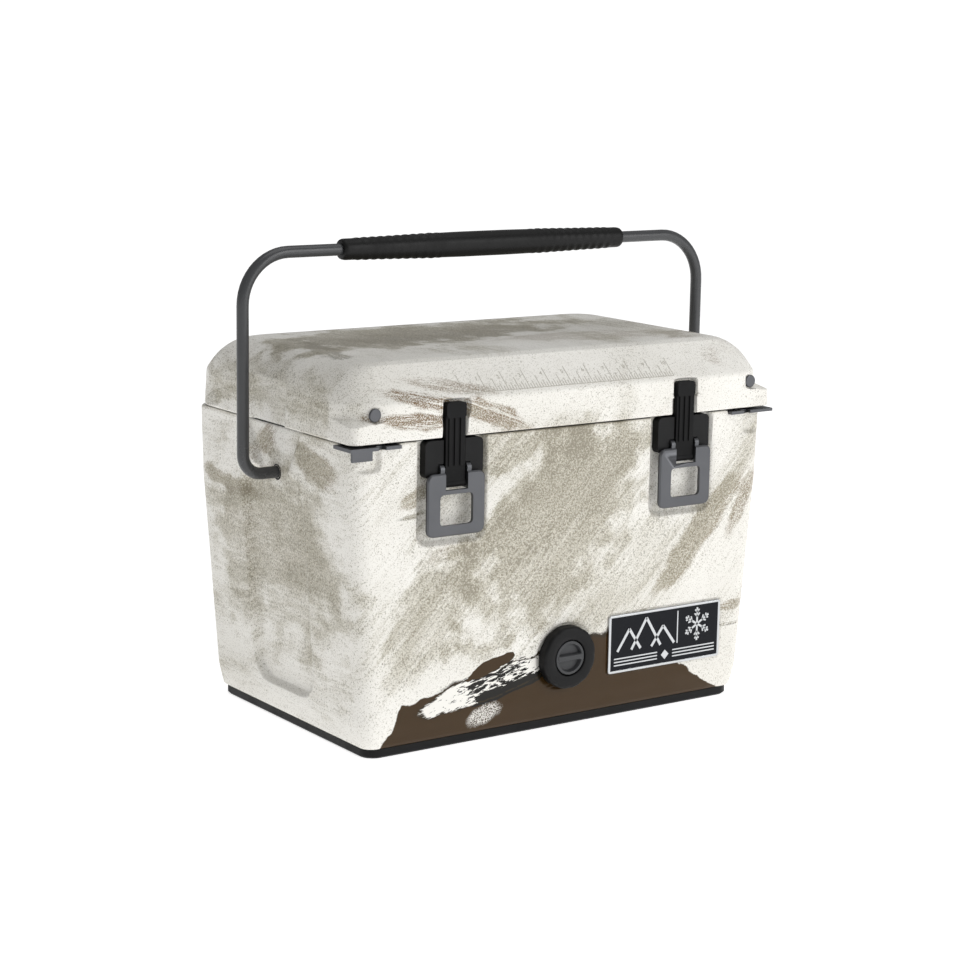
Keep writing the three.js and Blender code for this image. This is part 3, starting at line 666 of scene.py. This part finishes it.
def body_shell_rings(layout):
    """Rings from the middle of the underside, up the outer wall, over the rim and down the inner wall."""
    wall = spread(14.5, 303.5, 150, (32, 38, 44, 107, 200, 206, 251, 284, 302), 4.0, 5.0)
    z = np.concatenate([[9.7, 9.7, 10.2, 11.6], wall,
                        [305.3, 306.2, 306.5, 306.5, 305.0, 200, 60, 21.4, 21.4]])
    step_in = np.concatenate([[90, 5, 1.6, 0.4], np.zeros(len(wall)),
                              [0.3, 1.2, 2.8, 11, WALL, WALL, WALL, WALL, 90]])
    hx = follow_levels(z, BODY_LEVELS, 1) - step_in
    hy = follow_levels(z, BODY_LEVELS, 2) - step_in
    r = np.maximum(follow_levels(z, BODY_LEVELS, 3) - step_in, 5)
    points = layout.rings(z, hx, hy, np.repeat(r[:, None], 4, 1))
    outer = slice(2, 4 + len(wall) + 4)
    points[outer] = body_pockets(points[outer])
    return points


def liner_rings(layout):
    """Rings up the outside of the tub, round its flange and down the inside to the floor."""
    def tub(z, inward):
        return [np.interp(z, [t[0] for t in TUB], [t[i] for t in TUB]) - inward for i in (1, 2, 3)]
    rows = [(46, 60, "tub"), (46, 12, "tub"), (50, 2, "tub"), (60, 0, "tub"), (180, 0, "tub"),
            (300.2, 0, "tub"), (300.2, 0, "flange"), (305.6, 0, "flange"), (306.5, 1, "flange"),
            (306.5, 20, "flange"),
            (306.5, 1.5, "mouth"), (306.0, 3.2, "mouth"), (304.0, 4.0, "tub")]
    rows += [(z, 4.0, "tub") for z in np.linspace(298, 76, 14)]
    # the floor turns up in a 20 mm cove: a quarter circle of eight steps
    rows += [(50 + 20 * (1 - math.sin(a)), 4 + 20 * (1 - math.cos(a)), "tub")
             for a in np.linspace(0.1, math.pi / 2, 8)]
    rows += [(50, 60, "tub"), (50, 100, "tub")]
    z, hx, hy, r = [], [], [], []
    for height, inward, kind in rows:
        if kind == "tub":
            size = tub(height, inward)
        elif kind == "mouth":
            size = tub(305.0, inward)
        else:
            size = [238.2 - inward, 141.2 - inward, 8]
        z.append(height), hx.append(size[0]), hy.append(size[1]), r.append(max(size[2], 6))
    radii = np.repeat(np.array(r, float)[:, None], 4, 1)
    return layout.rings(np.array(z, float), np.array(hx), np.array(hy), radii)


def lid_outline(z):
    """Half sizes of the lid at each height: upright ends running into the shoulder's quarter circle, and an
    upright front band running into the slope."""
    shoulder = LID_TOP - SHOULDER_R
    up = np.clip(z - shoulder, 0, SHOULDER_R)
    ends = 255.5 - 2 * np.clip((z - PART_Z) / (shoulder - PART_Z), 0, 1)
    hx = ends - SHOULDER_R + np.sqrt(np.maximum(SHOULDER_R**2 - up**2, 0))
    corners = ((PART_Z, 158.5), (BAND_TOP - 3, 158.5), (BAND_TOP, 157.2), (376.2, 122.4), (LID_TOP, 114.5))
    hy = np.interp(z, [c[0] for c in corners], [c[1] for c in corners])
    return hx, hy


def lid_pockets(points):
    """Strap grooves, recesses in the end faces, seats for the two buttons and notches for the rear hinges."""
    x, y, z = (points[..., i].copy() for i in range(3))
    for _, side in SIDES:
        groove = pocket_mask(x, z, (side * LATCH_X, 320.5), (13.2, 23.5), 2.5, 1.6)
        press_y(points, (y < -120) * groove, -151.3)
        button = pocket_mask(x, z, (side * 228, 335.5), (7.2, 7.2), 7.2, 1.2)
        press_y(points, (y < -120) * button, -153.0)
        notch = (np.abs(x - side * 150) < 30.5) & (z < 314.8)
        press_y(points, (notch & (y > 100)).astype(float), 150.7)
    ends = pocket_mask(y, z, (0, 324.5), (28, 26), 8, 8) * (np.abs(x) > 240)
    floor = np.sign(x) * 249.8
    points[..., 0] = np.where(np.abs(x) > 249.8, x + (floor - x) * ends, x)
    return points


def lid_shell_rings(layout):
    """Rings from the roof of the hollow, down its wall, out across the underside, up the outside and over
    the top."""
    band = spread(311.0, 334.4, 26, (325.7, 330.7), 2.5, 3.0)
    turn = np.linspace(0, math.pi / 2, 46)[1:]
    shoulder = LID_TOP - SHOULDER_R + SHOULDER_R * np.sin(turn)
    inner_z = [352, 352, 330, 309.5, PART_Z]
    inner_x = [150, 222, 224, 225.6, 227]
    inner_y = [60, 124, 126, 127.6, 129]
    outer_z = np.concatenate([[PART_Z, 309.1, 309.9], band, shoulder])
    hx, hy = lid_outline(outer_z)
    lip = np.zeros_like(outer_z)
    lip[:3] = (2.2, 0.7, 0.15)
    top = np.array([0.93, 0.8, 0.55, 0.3])
    z = np.concatenate([inner_z, outer_z, np.full(4, LID_TOP)])
    hx_all = np.concatenate([inner_x, hx - lip, hx[-1] * top])
    hy_all = np.concatenate([inner_y, hy - lip, hy[-1] * top])
    # the plan corners tighten toward the top, and the two front ears have a small radius of their own
    corner = 44 - 24 * smoothstep(338, LID_TOP, outer_z)
    ear = 10 + 34 * np.clip((outer_z - 325.7) / 5.0, 0, 1)
    ear = np.where(outer_z < 331, ear, corner)
    r_back = np.concatenate([np.full(5, 26), corner - lip, 20 * top])
    r_front = np.concatenate([np.full(5, 26), ear - lip, 20 * top])
    radii = np.stack([r_back, r_back, r_front, r_front], 1)
    points = layout.rings(z, hx_all, hy_all, radii)
    points[5:5 + len(outer_z)] = lid_pockets(points[5:5 + len(outer_z)])
    return points


# ---------------------------------------------------------------- handle, grip and turned parts


def bend_path(corners, radii, steps=14):
    """A flat path of straights joined by arcs: each corner is cut back by r tan(half turn) and filled with an
    arc of radius r."""
    path = [np.array(corners[0], float)]
    for before, corner, after, radius in zip(corners, corners[1:], corners[2:], radii):
        before, corner, after = (np.array(p, float) for p in (before, corner, after))
        enter = (corner - before) / np.linalg.norm(corner - before)
        leave = (after - corner) / np.linalg.norm(after - corner)
        turn = math.acos(np.clip(enter @ leave, -1, 1))
        cut = radius * math.tan(turn / 2)
        centre = corner - enter * cut + (leave - enter * (enter @ leave)) / math.sin(turn) * radius
        start = corner - enter * cut - centre
        for angle in np.linspace(0, turn, steps):
            path.append(centre + start * math.cos(angle) + enter * radius * math.sin(angle))
    path.append(np.array(corners[-1], float))
    return np.array(path)


def rod_rings(path, radius, sides=28):
    """Circles of one radius set square to a flat XZ path, with a small round-over at each end."""
    ahead = np.gradient(path, axis=0)
    ahead /= np.linalg.norm(ahead, axis=1)[:, None]
    angle = np.linspace(0, 2 * math.pi, sides, endpoint=False)
    size = np.full(len(path), radius)
    size[0] = size[-1] = radius * 0.86
    across = size[:, None] * np.cos(angle)
    x = path[:, :1] - ahead[:, 1:] * across
    z = path[:, 1:] + ahead[:, :1] * across
    y = -size[:, None] * np.sin(angle)
    return np.stack([x, y, z], -1)


def handle_corners():
    """Foot, two bends and bar of the bail, left to right, in millimetres."""
    leg, bar = 280.7, 473.3
    right = [(239.2, PIVOT_Z), (leg, PIVOT_Z), (leg, bar)]
    return [(-x, z) for x, z in right] + right[::-1]


def grip_rings(height):
    """Circles along the bar whose radius swells toward the middle, plus shallow finger ridges on each outer
    third and a flat seam line along the front."""
    half = 172.0
    x = np.concatenate([-half + 5 * (1 - np.cos(np.linspace(0, math.pi / 2, 7))), np.linspace(-166, 166, 260),
                        half - 5 * (1 - np.cos(np.linspace(math.pi / 2, 0, 7)))])
    swell = 10.9 + 2.2 * (1 - smoothstep(20, 165, np.abs(x)))
    end = np.clip((half - np.abs(x)) / 5.0, 0, 1)
    swell = swell - 2.6 * (1 - np.sqrt(1 - (1 - end) ** 2))
    zone = smoothstep(52, 64, np.abs(x)) * (1 - smoothstep(150, 160, np.abs(x)))
    ridge = zone * (0.5 + 0.5 * np.cos(x * 2 * math.pi / 9.6)) * height
    angle = np.linspace(0, 2 * math.pi, 48, endpoint=False)
    flat = 1 - 0.035 * np.abs(np.cos(2 * angle)) ** 6
    radius = swell[:, None] * flat + ridge[:, None] * (0.35 + 0.65 * np.abs(np.sin(angle)) ** 2)
    y = -radius * np.cos(angle)
    z = 473.3 + radius * np.sin(angle)
    return np.stack([np.broadcast_to(x[:, None], y.shape), y, z], -1)


def turned_rings(profile, centre, sides=96, wave=None):
    """Rings of a shape turned about a line along Y: each profile row is (radius, y), and wave may swell the
    radius round the turn."""
    angle = np.linspace(0, 2 * math.pi, sides, endpoint=False)
    rows = np.array(profile, float)
    radius = rows[:, :1] * np.ones(sides)
    if wave is not None:
        radius = radius + wave(rows[:, :1], angle)
    x = centre[0] + radius * np.cos(angle)
    z = centre[1] + radius * np.sin(angle)
    return np.stack([x, np.broadcast_to(rows[:, 1:], x.shape), z], -1)


def drain_flange_rings():
    """Round flange with a soft rim, twelve shallow scallops and a sunk seat for the plug."""
    profile = [(20, -150.1), (31.2, -150.1), (32, -151), (32, -158.2), (31.6, -159.8), (30.4, -161.1),
               (28.6, -161.6), (24, -161.6), (19.6, -161.6), (18.8, -161.2), (18.4, -160.4), (18.3, -155.3),
               (12, -155.1), (5, -155.1)]
    return turned_rings(profile, (0, DRAIN_Z), 144,
                        lambda r, a: -0.55 * (r > 28) * (0.5 + 0.5 * np.cos(12 * a)) ** 3)


def drain_plug_rings():
    """Knob face with two half-moon hollows either side of a finger bar: the face is sunk 4 mm where the
    distances to the bar and to the rim are both positive."""
    profile = [(5, -155.4), (16.8, -155.4), (17.2, -155.9), (17.2, -160.2), (16.9, -160.8), (16.3, -161.0)]
    profile += [(r, -161.0) for r in np.linspace(15.8, 0.8, 34)]
    rings = turned_rings(profile, (0, DRAIN_Z), 120)
    x, z = rings[5:, :, 0], rings[5:, :, 2] - DRAIN_Z
    sunk = smoothstep(2.6, 4.0, np.abs(z)) * (1 - smoothstep(13.0, 14.4, np.hypot(x, z)))
    proud = (1 - smoothstep(1.8, 3.2, np.abs(z))) * (1 - smoothstep(14.0, 15.6, np.abs(x)))
    rings[5:, :, 1] += 4.2 * sunk - 0.95 * proud
    return rings


def screw_rings(centre, side):
    """Low domed head with a hexagon socket, facing along Y; side is -1 for the front and 1 for the back."""
    rows = [(3.0, 0), (3.45, 0.1), (3.5, 0.7), (3.2, 1.3), (2.6, 1.6), (2.0, 1.7), (1.75, 1.65), (1.7, 0.7),
            (0.6, 0.7)]
    profile = [(r, centre[1] + side * h) for r, h in rows]
    rings = turned_rings(profile, (centre[0], centre[2]), 36)
    angle = np.linspace(0, 2 * math.pi, 36, endpoint=False)
    hexagon = 1.5 / np.cos((angle + math.pi / 6) % (math.pi / 3) - math.pi / 6)
    for level in (6, 7):
        rings[level, :, 0] = centre[0] + hexagon * np.cos(angle)
        rings[level, :, 2] = centre[2] + hexagon * np.sin(angle)
    return rings[:, ::-1] if side > 0 else rings


# ---------------------------------------------------------------- raised marks


def plate_points(outline, low, high, lift):
    """A flat outline of (a, b) pairs swept from low to high; lift turns (a, b, height) into x, y, z."""
    outline = np.array(outline, float)
    bottom = lift(outline[:, 0], outline[:, 1], np.full(len(outline), low))
    top = lift(outline[:, 0], outline[:, 1], np.full(len(outline), high))
    return np.concatenate([bottom, top])


def marks_object(name, outlines, low, high, lift, material):
    """One mesh of many small raised flat shapes, each a closed prism over a convex outline."""
    points, faces, start = [], [], 0
    for outline in outlines:
        n = len(outline)
        points.append(plate_points(outline, low, high, lift))
        i = np.arange(n)
        j = (i + 1) % n
        faces += [[start + v for v in range(n)][::-1], [start + n + v for v in range(n)]]
        faces += (np.stack([i, j, j + n, i + n], -1) + start).tolist()
        start += 2 * n
    return mesh_object(name, np.concatenate(points), faces, material, smooth=False)


def stroke_outline(x0, z0, x1, z1, width):
    """The rectangle of one width round a line."""
    along = np.array([x1 - x0, z1 - z0], float)
    along /= np.linalg.norm(along)
    out = np.array([-along[1], along[0]]) * width / 2
    a, b = np.array([x0, z0], float), np.array([x1, z1], float)
    return [a - out, b - out, b + out, a + out]


def emblem_outlines():
    """A snow crystal beside three mountain peaks, and a band of short bars below."""
    shapes = []
    cx, cz, arm = PLATE_X + 42, PLATE_Z + 8, 17.5
    for k in range(6):
        angle = math.pi / 6 + k * math.pi / 3
        ux, uz = math.cos(angle), math.sin(angle)
        shapes.append(stroke_outline(cx + 1.2 * ux, cz + 1.2 * uz, cx + arm * ux, cz + arm * uz, 2.2))
        for share, length in ((0.45, 5.0), (0.72, 4.0)):
            bx, bz = cx + arm * share * ux, cz + arm * share * uz
            for turn in (math.pi / 4, -math.pi / 4):
                ex = bx + length * math.cos(angle + turn)
                ez = bz + length * math.sin(angle + turn)
                shapes.append(stroke_outline(bx, bz, ex, ez, 1.7))
    left, foot = PLATE_X - 62, PLATE_Z - 8
    for peak, (start, width, height) in enumerate(((0, 30, 22), (18, 38, 31), (44, 30, 20))):
        x0, x1, top = left + start, left + start + width, foot + height
        middle = (x0 + x1) / 2
        shapes.append(stroke_outline(x0, foot, middle, top, 3.0))
        shapes.append(stroke_outline(middle, top, x1, foot, 3.0))
    shapes.append(stroke_outline(PLATE_X + 16, PLATE_Z - 9, PLATE_X + 16, PLATE_Z + 25, 1.4))
    for row in range(3):
        z = PLATE_Z - 15.5 - row * 3.4
        for _, side in SIDES:
            shapes.append(stroke_outline(PLATE_X + side * 10, z, PLATE_X + side * 66, z, 1.3))
    shapes.append([(PLATE_X - 5, PLATE_Z - 19), (PLATE_X, PLATE_Z - 24), (PLATE_X + 5, PLATE_Z - 19),
                   (PLATE_X, PLATE_Z - 14)])
    return shapes


def slope_lift(along, up, height):
    """Places ruler marks on the lid's front slope: along runs on X, up climbs the slope from its crease, and
    height stands off it."""
    rise, run = 376.2 - BAND_TOP, 157.2 - 122.4
    size = math.hypot(rise, run)
    y = -157.2 + up * run / size - height * rise / size
    z = BAND_TOP + up * rise / size + height * run / size
    return np.stack([along, y, z], -1)


def ruler_outlines():
    """Marks every eighth of an inch over ten inches, longest at the inch."""
    shapes = []
    for eighth in range(81):
        x = -127 + eighth * 25.4 / 8
        length = 24 if eighth % 8 == 0 else 15 if eighth % 4 == 0 else 9 if eighth % 2 == 0 else 6
        shapes.append(stroke_outline(x, 4, x, 4 + length, 0.7))
    shapes.append(stroke_outline(-127.35, 4, 127.35, 4, 0.6))
    return shapes


def numeral_object(number, along, up, size, material):
    """One numeral lying on the slope, made a mesh before it is placed."""
    curve = bpy.data.curves.new(f"ruler_numeral_{number}", "FONT")
    curve.body = str(number)
    curve.size = size
    curve.extrude = 0.12
    curve.align_x = "CENTER"
    curve.resolution_u = 3
    holder = bpy.data.objects.new(curve.name, curve)
    bpy.context.collection.objects.link(holder)
    bpy.context.view_layer.update()
    mesh = bpy.data.meshes.new_from_object(holder.evaluated_get(bpy.context.evaluated_depsgraph_get()))
    bpy.data.objects.remove(holder)
    flat = np.empty(len(mesh.vertices) * 3)
    mesh.vertices.foreach_get("co", flat)
    flat = flat.reshape(-1, 3)
    placed = slope_lift(flat[:, 0] + along, flat[:, 1] + up, flat[:, 2] + 0.1) * MM
    mesh.vertices.foreach_set("co", placed.ravel())
    mesh.update()
    mesh.name = curve.name
    mesh.materials.clear()
    mesh.materials.append(material)
    made = bpy.data.objects.new(f"ruler_numeral_{number}", mesh)
    bpy.context.collection.objects.link(made)
    return made


# ---------------------------------------------------------------- operators


class COOLER_OT_body(bpy.types.Operator):
    """Moulded outer shell with its pockets, and the white tub inside it"""

    bl_idname = "cooler.body"
    bl_label = "Body shell and tub"

    def execute(self, context):
        scene = context.scene
        layout = chest_layout(scene.cooler_shell.samples)
        shell = ring_object("body_shell_skin", body_shell_rings(layout), shell_material())
        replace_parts(sharpen(shell, 50), "body_shell")
        even = np.linspace(0, 1, 24)
        tub = ring_object("body_liner_skin", liner_rings(RingLayout(even, even, even, 12)),
                          finishes()["food-grade polyethylene"])
        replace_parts(sharpen(tub, 50), "body_liner")
        for made in (shell, tub):
            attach(made, "chest")
        return {"FINISHED"}


class COOLER_OT_lid(bpy.types.Operator):
    """Moulded lid with shoulders, slope, ears and recesses, its liner and gasket"""

    bl_idname = "cooler.lid"
    bl_label = "Lid"

    def execute(self, context):
        scene = context.scene
        layout = chest_layout(scene.cooler_shell.samples)
        shell = ring_object("lid_shell_skin", lid_shell_rings(layout), shell_material())
        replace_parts(sharpen(shell, 50), "lid_shell")
        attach(shell, "lid")
        looks = finishes()
        refined("lid_liner", looks["food-grade polyethylene"], 1.2 * MM, 3)
        # the black gasket reaches out to the outer edge of the rim and fills the gap between lid and body:
        # partly the real seal, partly a dark strip standing in for the shade in that gap (painted shade)
        refined("lid_gasket", looks["moulded EPDM rubber"], 0.5 * MM)
        for name, _ in SIDES:
            refined(f"lid_rivet_{name}", looks["bead-blasted zinc alloy"], 1.2 * MM, 4)
        return {"FINISHED"}


class COOLER_OT_ruler(bpy.types.Operator):
    """Ten-inch ruler with numerals on the lid's front slope"""

    bl_idname = "cooler.ruler"
    bl_label = "Ruler"

    def execute(self, context):
        ink = finishes()["pad-printed grey ink"]
        made = [marks_object("ruler_marks", ruler_outlines(), -0.2, 0.15, slope_lift, ink)]
        made += [numeral_object(n, -127 + 25.4 * n - 4.4, 19, 6.5, ink) for n in range(1, 11)]
        for piece in made:
            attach(piece, "lid")
        return {"FINISHED"}


class COOLER_OT_handle(bpy.types.Operator):
    """Bent steel bail with its rubber grip and pivot bushings"""

    bl_idname = "cooler.handle"
    bl_label = "Handle"

    def execute(self, context):
        scene = context.scene
        sizes = scene.cooler_handle
        looks = finishes()
        bends = [sizes.foot_bend / MM, sizes.top_bend / MM, sizes.top_bend / MM, sizes.foot_bend / MM]
        path = bend_path(handle_corners(), bends)
        path = np.insert(path, 1, path[0] + (0.8, 0) * np.sign(path[1] - path[0]), axis=0)
        path = np.insert(path, -1, path[-1] + (0.8, 0) * np.sign(path[-2] - path[-1]), axis=0)
        rod = ring_object("handle_rod_skin", rod_rings(path, sizes.rod_radius / MM),
                          looks["powder-coated steel"])
        grip = ring_object("handle_grip_skin", grip_rings(sizes.ridge_height / MM),
                           looks["overmoulded grip rubber"])
        for made, node, slot in ((rod, "handle_rod", "handle_tube"), (grip, "handle_grip", "rubber")):
            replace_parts(sharpen(made, 40), node)
            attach(made, "handle")
        for name, _ in SIDES:
            refined(f"pivot_bushing_{name}", looks["injection-moulded nylon"], 0.8 * MM, 3)
        return {"FINISHED"}


class COOLER_OT_latches(bpy.types.Operator):
    """Brackets, levers, rubber straps, pins and screws of the two latches"""

    bl_idname = "cooler.latches"
    bl_label = "Latches"

    def execute(self, context):
        scene = context.scene
        looks = finishes()
        edge = scene.cooler_trim.edge
        for name, _ in SIDES:
            refined(f"latch_bracket_{name}", looks["injection-moulded nylon"], edge)
            refined(f"latch_lever_{name}", looks["bead-blasted zinc alloy"], edge * 1.6, 3)
            refined(f"latch_strap_{name}", looks["moulded EPDM rubber"], edge * 1.2, 3)
            refined(f"strap_pin_{name}", looks["stainless steel"], edge * 0.5)
        return {"FINISHED"}


class COOLER_OT_drain(bpy.types.Operator):
    """Drain flange, plug, gasket, tube and inner nut"""

    bl_idname = "cooler.drain"
    bl_label = "Drain"

    def execute(self, context):
        looks = finishes()
        flange = ring_object("drain_flange_skin", drain_flange_rings(), looks["injection-moulded nylon"])
        plug = ring_object("drain_plug_skin", drain_plug_rings(), looks["grey glass-filled nylon"])
        for made, node, body, slot in ((flange, "drain_flange", "chest", "black_plastic"),
                                       (plug, "drain_plug", "drain_plug", "grey_plastic")):
            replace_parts(sharpen(made, 40), node)
            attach(made, body)
        refined("drain_gasket", looks["moulded EPDM rubber"], 0.2 * MM)
        refined("drain_tube", looks["grey glass-filled nylon"], 0.4 * MM)
        refined("drain_nut", looks["injection-moulded nylon"], 0.6 * MM)
        return {"FINISHED"}


class COOLER_OT_nameplate(bpy.types.Operator):
    """Rimmed plate with a snow crystal, mountain peaks and bars"""

    bl_idname = "cooler.nameplate"
    bl_label = "Nameplate"

    def execute(self, context):
        looks = finishes()
        bright = looks["bright-cut aluminium"]
        refined("nameplate", bright, 0.3 * MM)

        def lift(a, b, height):
            return np.stack([a, -151.9 - height, b], -1)

        half_w, half_h = 70.2, 27.7
        field = [(PLATE_X - half_w, PLATE_Z - half_h), (PLATE_X + half_w, PLATE_Z - half_h),
                 (PLATE_X + half_w, PLATE_Z + half_h), (PLATE_X - half_w, PLATE_Z + half_h)]
        black = looks["black anodised aluminium"]
        pieces = [marks_object("nameplate_field", [field], -0.1, 0.12, lift, black),
                  marks_object("nameplate_emblem", emblem_outlines(), 0.05, 0.5, lift, bright)]
        for made in pieces:
            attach(made, "chest")
        return {"FINISHED"}


class COOLER_OT_hardware(bpy.types.Operator):
    """Base skid (partly a painted contact shadow), tie-down plates, rear hinges, screws and the foam cores"""

    bl_idname = "cooler.hardware"
    bl_label = "Hardware"

    def execute(self, context):
        scene = context.scene
        looks = finishes()
        zinc, steel = looks["bead-blasted zinc alloy"], looks["stainless steel"]
        edge = scene.cooler_trim.edge
        # black skid the full length under the shell: partly the real non-slip feet, partly a dark band
        # standing in for the contact shadow under the chest (painted shadow); the near-black nylon is set as
        # deep as that shadow
        refined("base_skid", looks["injection-moulded nylon"], 1.0 * MM, 3)
        for name, _ in SIDES:
            refined(f"tie_down_plate_{name}", zinc, edge)
            refined(f"hinge_leaf_body_{name}", zinc, edge)
            refined(f"hinge_leaf_lid_{name}", zinc, edge)
            refined(f"hinge_pin_{name}", steel, edge * 0.5)
        for node in frame["nodes"]:
            if "foam" in node:
                refined(node, looks["polyurethane foam"], 0.5 * MM)
            elif "_screw_" in node:
                self.screw(node, steel, edge)
        return {"FINISHED"}

    def screw(self, node, steel, edge):
        """Socket heads stand for the hinge screws, which face the back; the rest are softened copies."""
        low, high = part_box(node)
        middle = (low + high) / 2 / MM
        if "hinge_screw_body" in node:
            made = ring_object(f"{node}_head", screw_rings((middle.x, 157.3, middle.z), 1), steel)
        elif "hinge_screw_lid" in node:
            made = ring_object(f"{node}_head", screw_rings((middle.x, 160.4, middle.z), 1), steel)
        else:
            refined(node, steel, edge * 0.6)
            return
        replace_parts(sharpen(made, 40), node)
        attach(made, body_of_node(node))


class COOLER_OT_stage(bpy.types.Operator):
    """Pale floor, soft lights and the camera"""

    bl_idname = "cooler.stage"
    bl_label = "Studio"

    def execute(self, context):
        scene = context.scene
        # matt white paper that glows a little, as a lit sweep does, so that it stays white to the horizon
        floor_material, _, _ = new_material("matt white paper", "#F4F4F4", 0.0, 0.9, Specular_IOR_Level=0.0)
        glow = floor_material.node_tree.nodes["Principled BSDF"].inputs
        glow["Emission Color"].default_value = (1, 1, 1, 1)
        glow["Emission Strength"].default_value = 0.74
        half = 30000
        corners = [(-half, -half, 0), (half, -half, 0), (half, half, 0), (-half, half, 0)]
        floor = mesh_object("studio_floor", corners, [[0, 1, 2, 3]], floor_material, smooth=False)
        self.world(scene)
        # place, size in metres and power: a broad front light and a high top light
        for name, place, size, power in (("front_softbox", (1.4, -2.6, 1.3), 1.8, 33),
                                         ("top_softbox", (0.3, -0.3, 2.8), 2.0, 15)):
            data = bpy.data.lights.new(name, "AREA")
            data.shape = "SQUARE"
            data.size = size
            data.energy = power
            lamp = bpy.data.objects.new(name, data)
            bpy.context.collection.objects.link(lamp)
            aim = Vector((0, 0, 0.2)) - Vector(place)
            lamp.matrix_world = Matrix.Translation(place) @ aim.to_track_quat("-Z", "Y").to_matrix().to_4x4()
        self.camera(scene)
        scene.view_settings.view_transform = "Standard"
        return {"FINISHED"}

    def world(self, scene):
        """Even light from all round, seen by the camera as plain white."""
        world = bpy.data.worlds.new("studio")
        world.use_nodes = True
        tree = world.node_tree
        seen = add_node(tree, "LightPath").outputs["Is Camera Ray"]
        power = add_node(tree, "MapRange", None, {0: seen, 3: 0.36, 4: 1.05})
        background = tree.nodes["Background"]
        background.inputs["Color"].default_value = (1, 1, 1, 1)
        tree.links.new(power.outputs[0], background.inputs["Strength"])
        scene.world = world

    def camera(self, scene):
        """Camera on a sphere round the target, level but for its roll."""
        studio = scene.cooler_studio
        az, el, roll = (math.radians(v) for v in (studio.azimuth, studio.elevation, studio.roll))
        out = Vector((-math.sin(az) * math.cos(el), -math.cos(az) * math.cos(el), math.sin(el)))
        right = (-out).cross(Vector((0, 0, 1))).normalized()
        up = right.cross(-out)
        turned_right = math.cos(roll) * right + math.sin(roll) * up
        turned_up = -math.sin(roll) * right + math.cos(roll) * up
        data = bpy.data.cameras.new("camera")
        data.sensor_width = 36
        data.lens = studio.lens
        data.clip_end = 200
        camera = bpy.data.objects.new("camera", data)
        bpy.context.collection.objects.link(camera)
        place = Vector(studio.target) + out * studio.distance
        facing = Matrix((turned_right, turned_up, out)).transposed().to_4x4()
        camera.matrix_world = Matrix.Translation(place) @ facing
        scene.camera = camera


STEPS = (COOLER_OT_body, COOLER_OT_lid, COOLER_OT_ruler, COOLER_OT_handle, COOLER_OT_latches, COOLER_OT_drain,
         COOLER_OT_nameplate, COOLER_OT_hardware, COOLER_OT_stage)


class COOLER_PT_panel(bpy.types.Panel):
    """Lists the build steps and the settings"""

    bl_idname = "COOLER_PT_panel"
    bl_label = "Cooler Chest"
    bl_space_type = "VIEW_3D"
    bl_region_type = "UI"
    bl_category = "Cooler Chest"

    def draw(self, context):
        for step in STEPS:
            self.layout.operator(step.bl_idname)
        for name, group in GROUPS:
            box = self.layout.box()
            for key in group.__annotations__:
                box.prop(getattr(context.scene, name), key)


GROUPS = (("cooler_shell", ShellSettings), ("cooler_handle", HandleSettings), ("cooler_trim", TrimSettings),
          ("cooler_studio", StudioSettings))


def register():
    """Adds the settings, the build steps and the panel."""
    for name, group in GROUPS:
        bpy.utils.register_class(group)
        setattr(bpy.types.Scene, name, PointerProperty(type=group))
    for step in STEPS:
        bpy.utils.register_class(step)
    bpy.utils.register_class(COOLER_PT_panel)


def unregister():
    """Removes what register added."""
    bpy.utils.unregister_class(COOLER_PT_panel)
    for step in reversed(STEPS):
        bpy.utils.unregister_class(step)
    for name, group in reversed(GROUPS):
        delattr(bpy.types.Scene, name)
        bpy.utils.unregister_class(group)


def main():
    """Runs every build step in order."""
    register()
    for step in STEPS:
        group, action = step.bl_idname.split(".")
        getattr(getattr(bpy.ops, group), action)()
    bpy.context.view_layer.update()


if __name__ == "__main__":
    main()
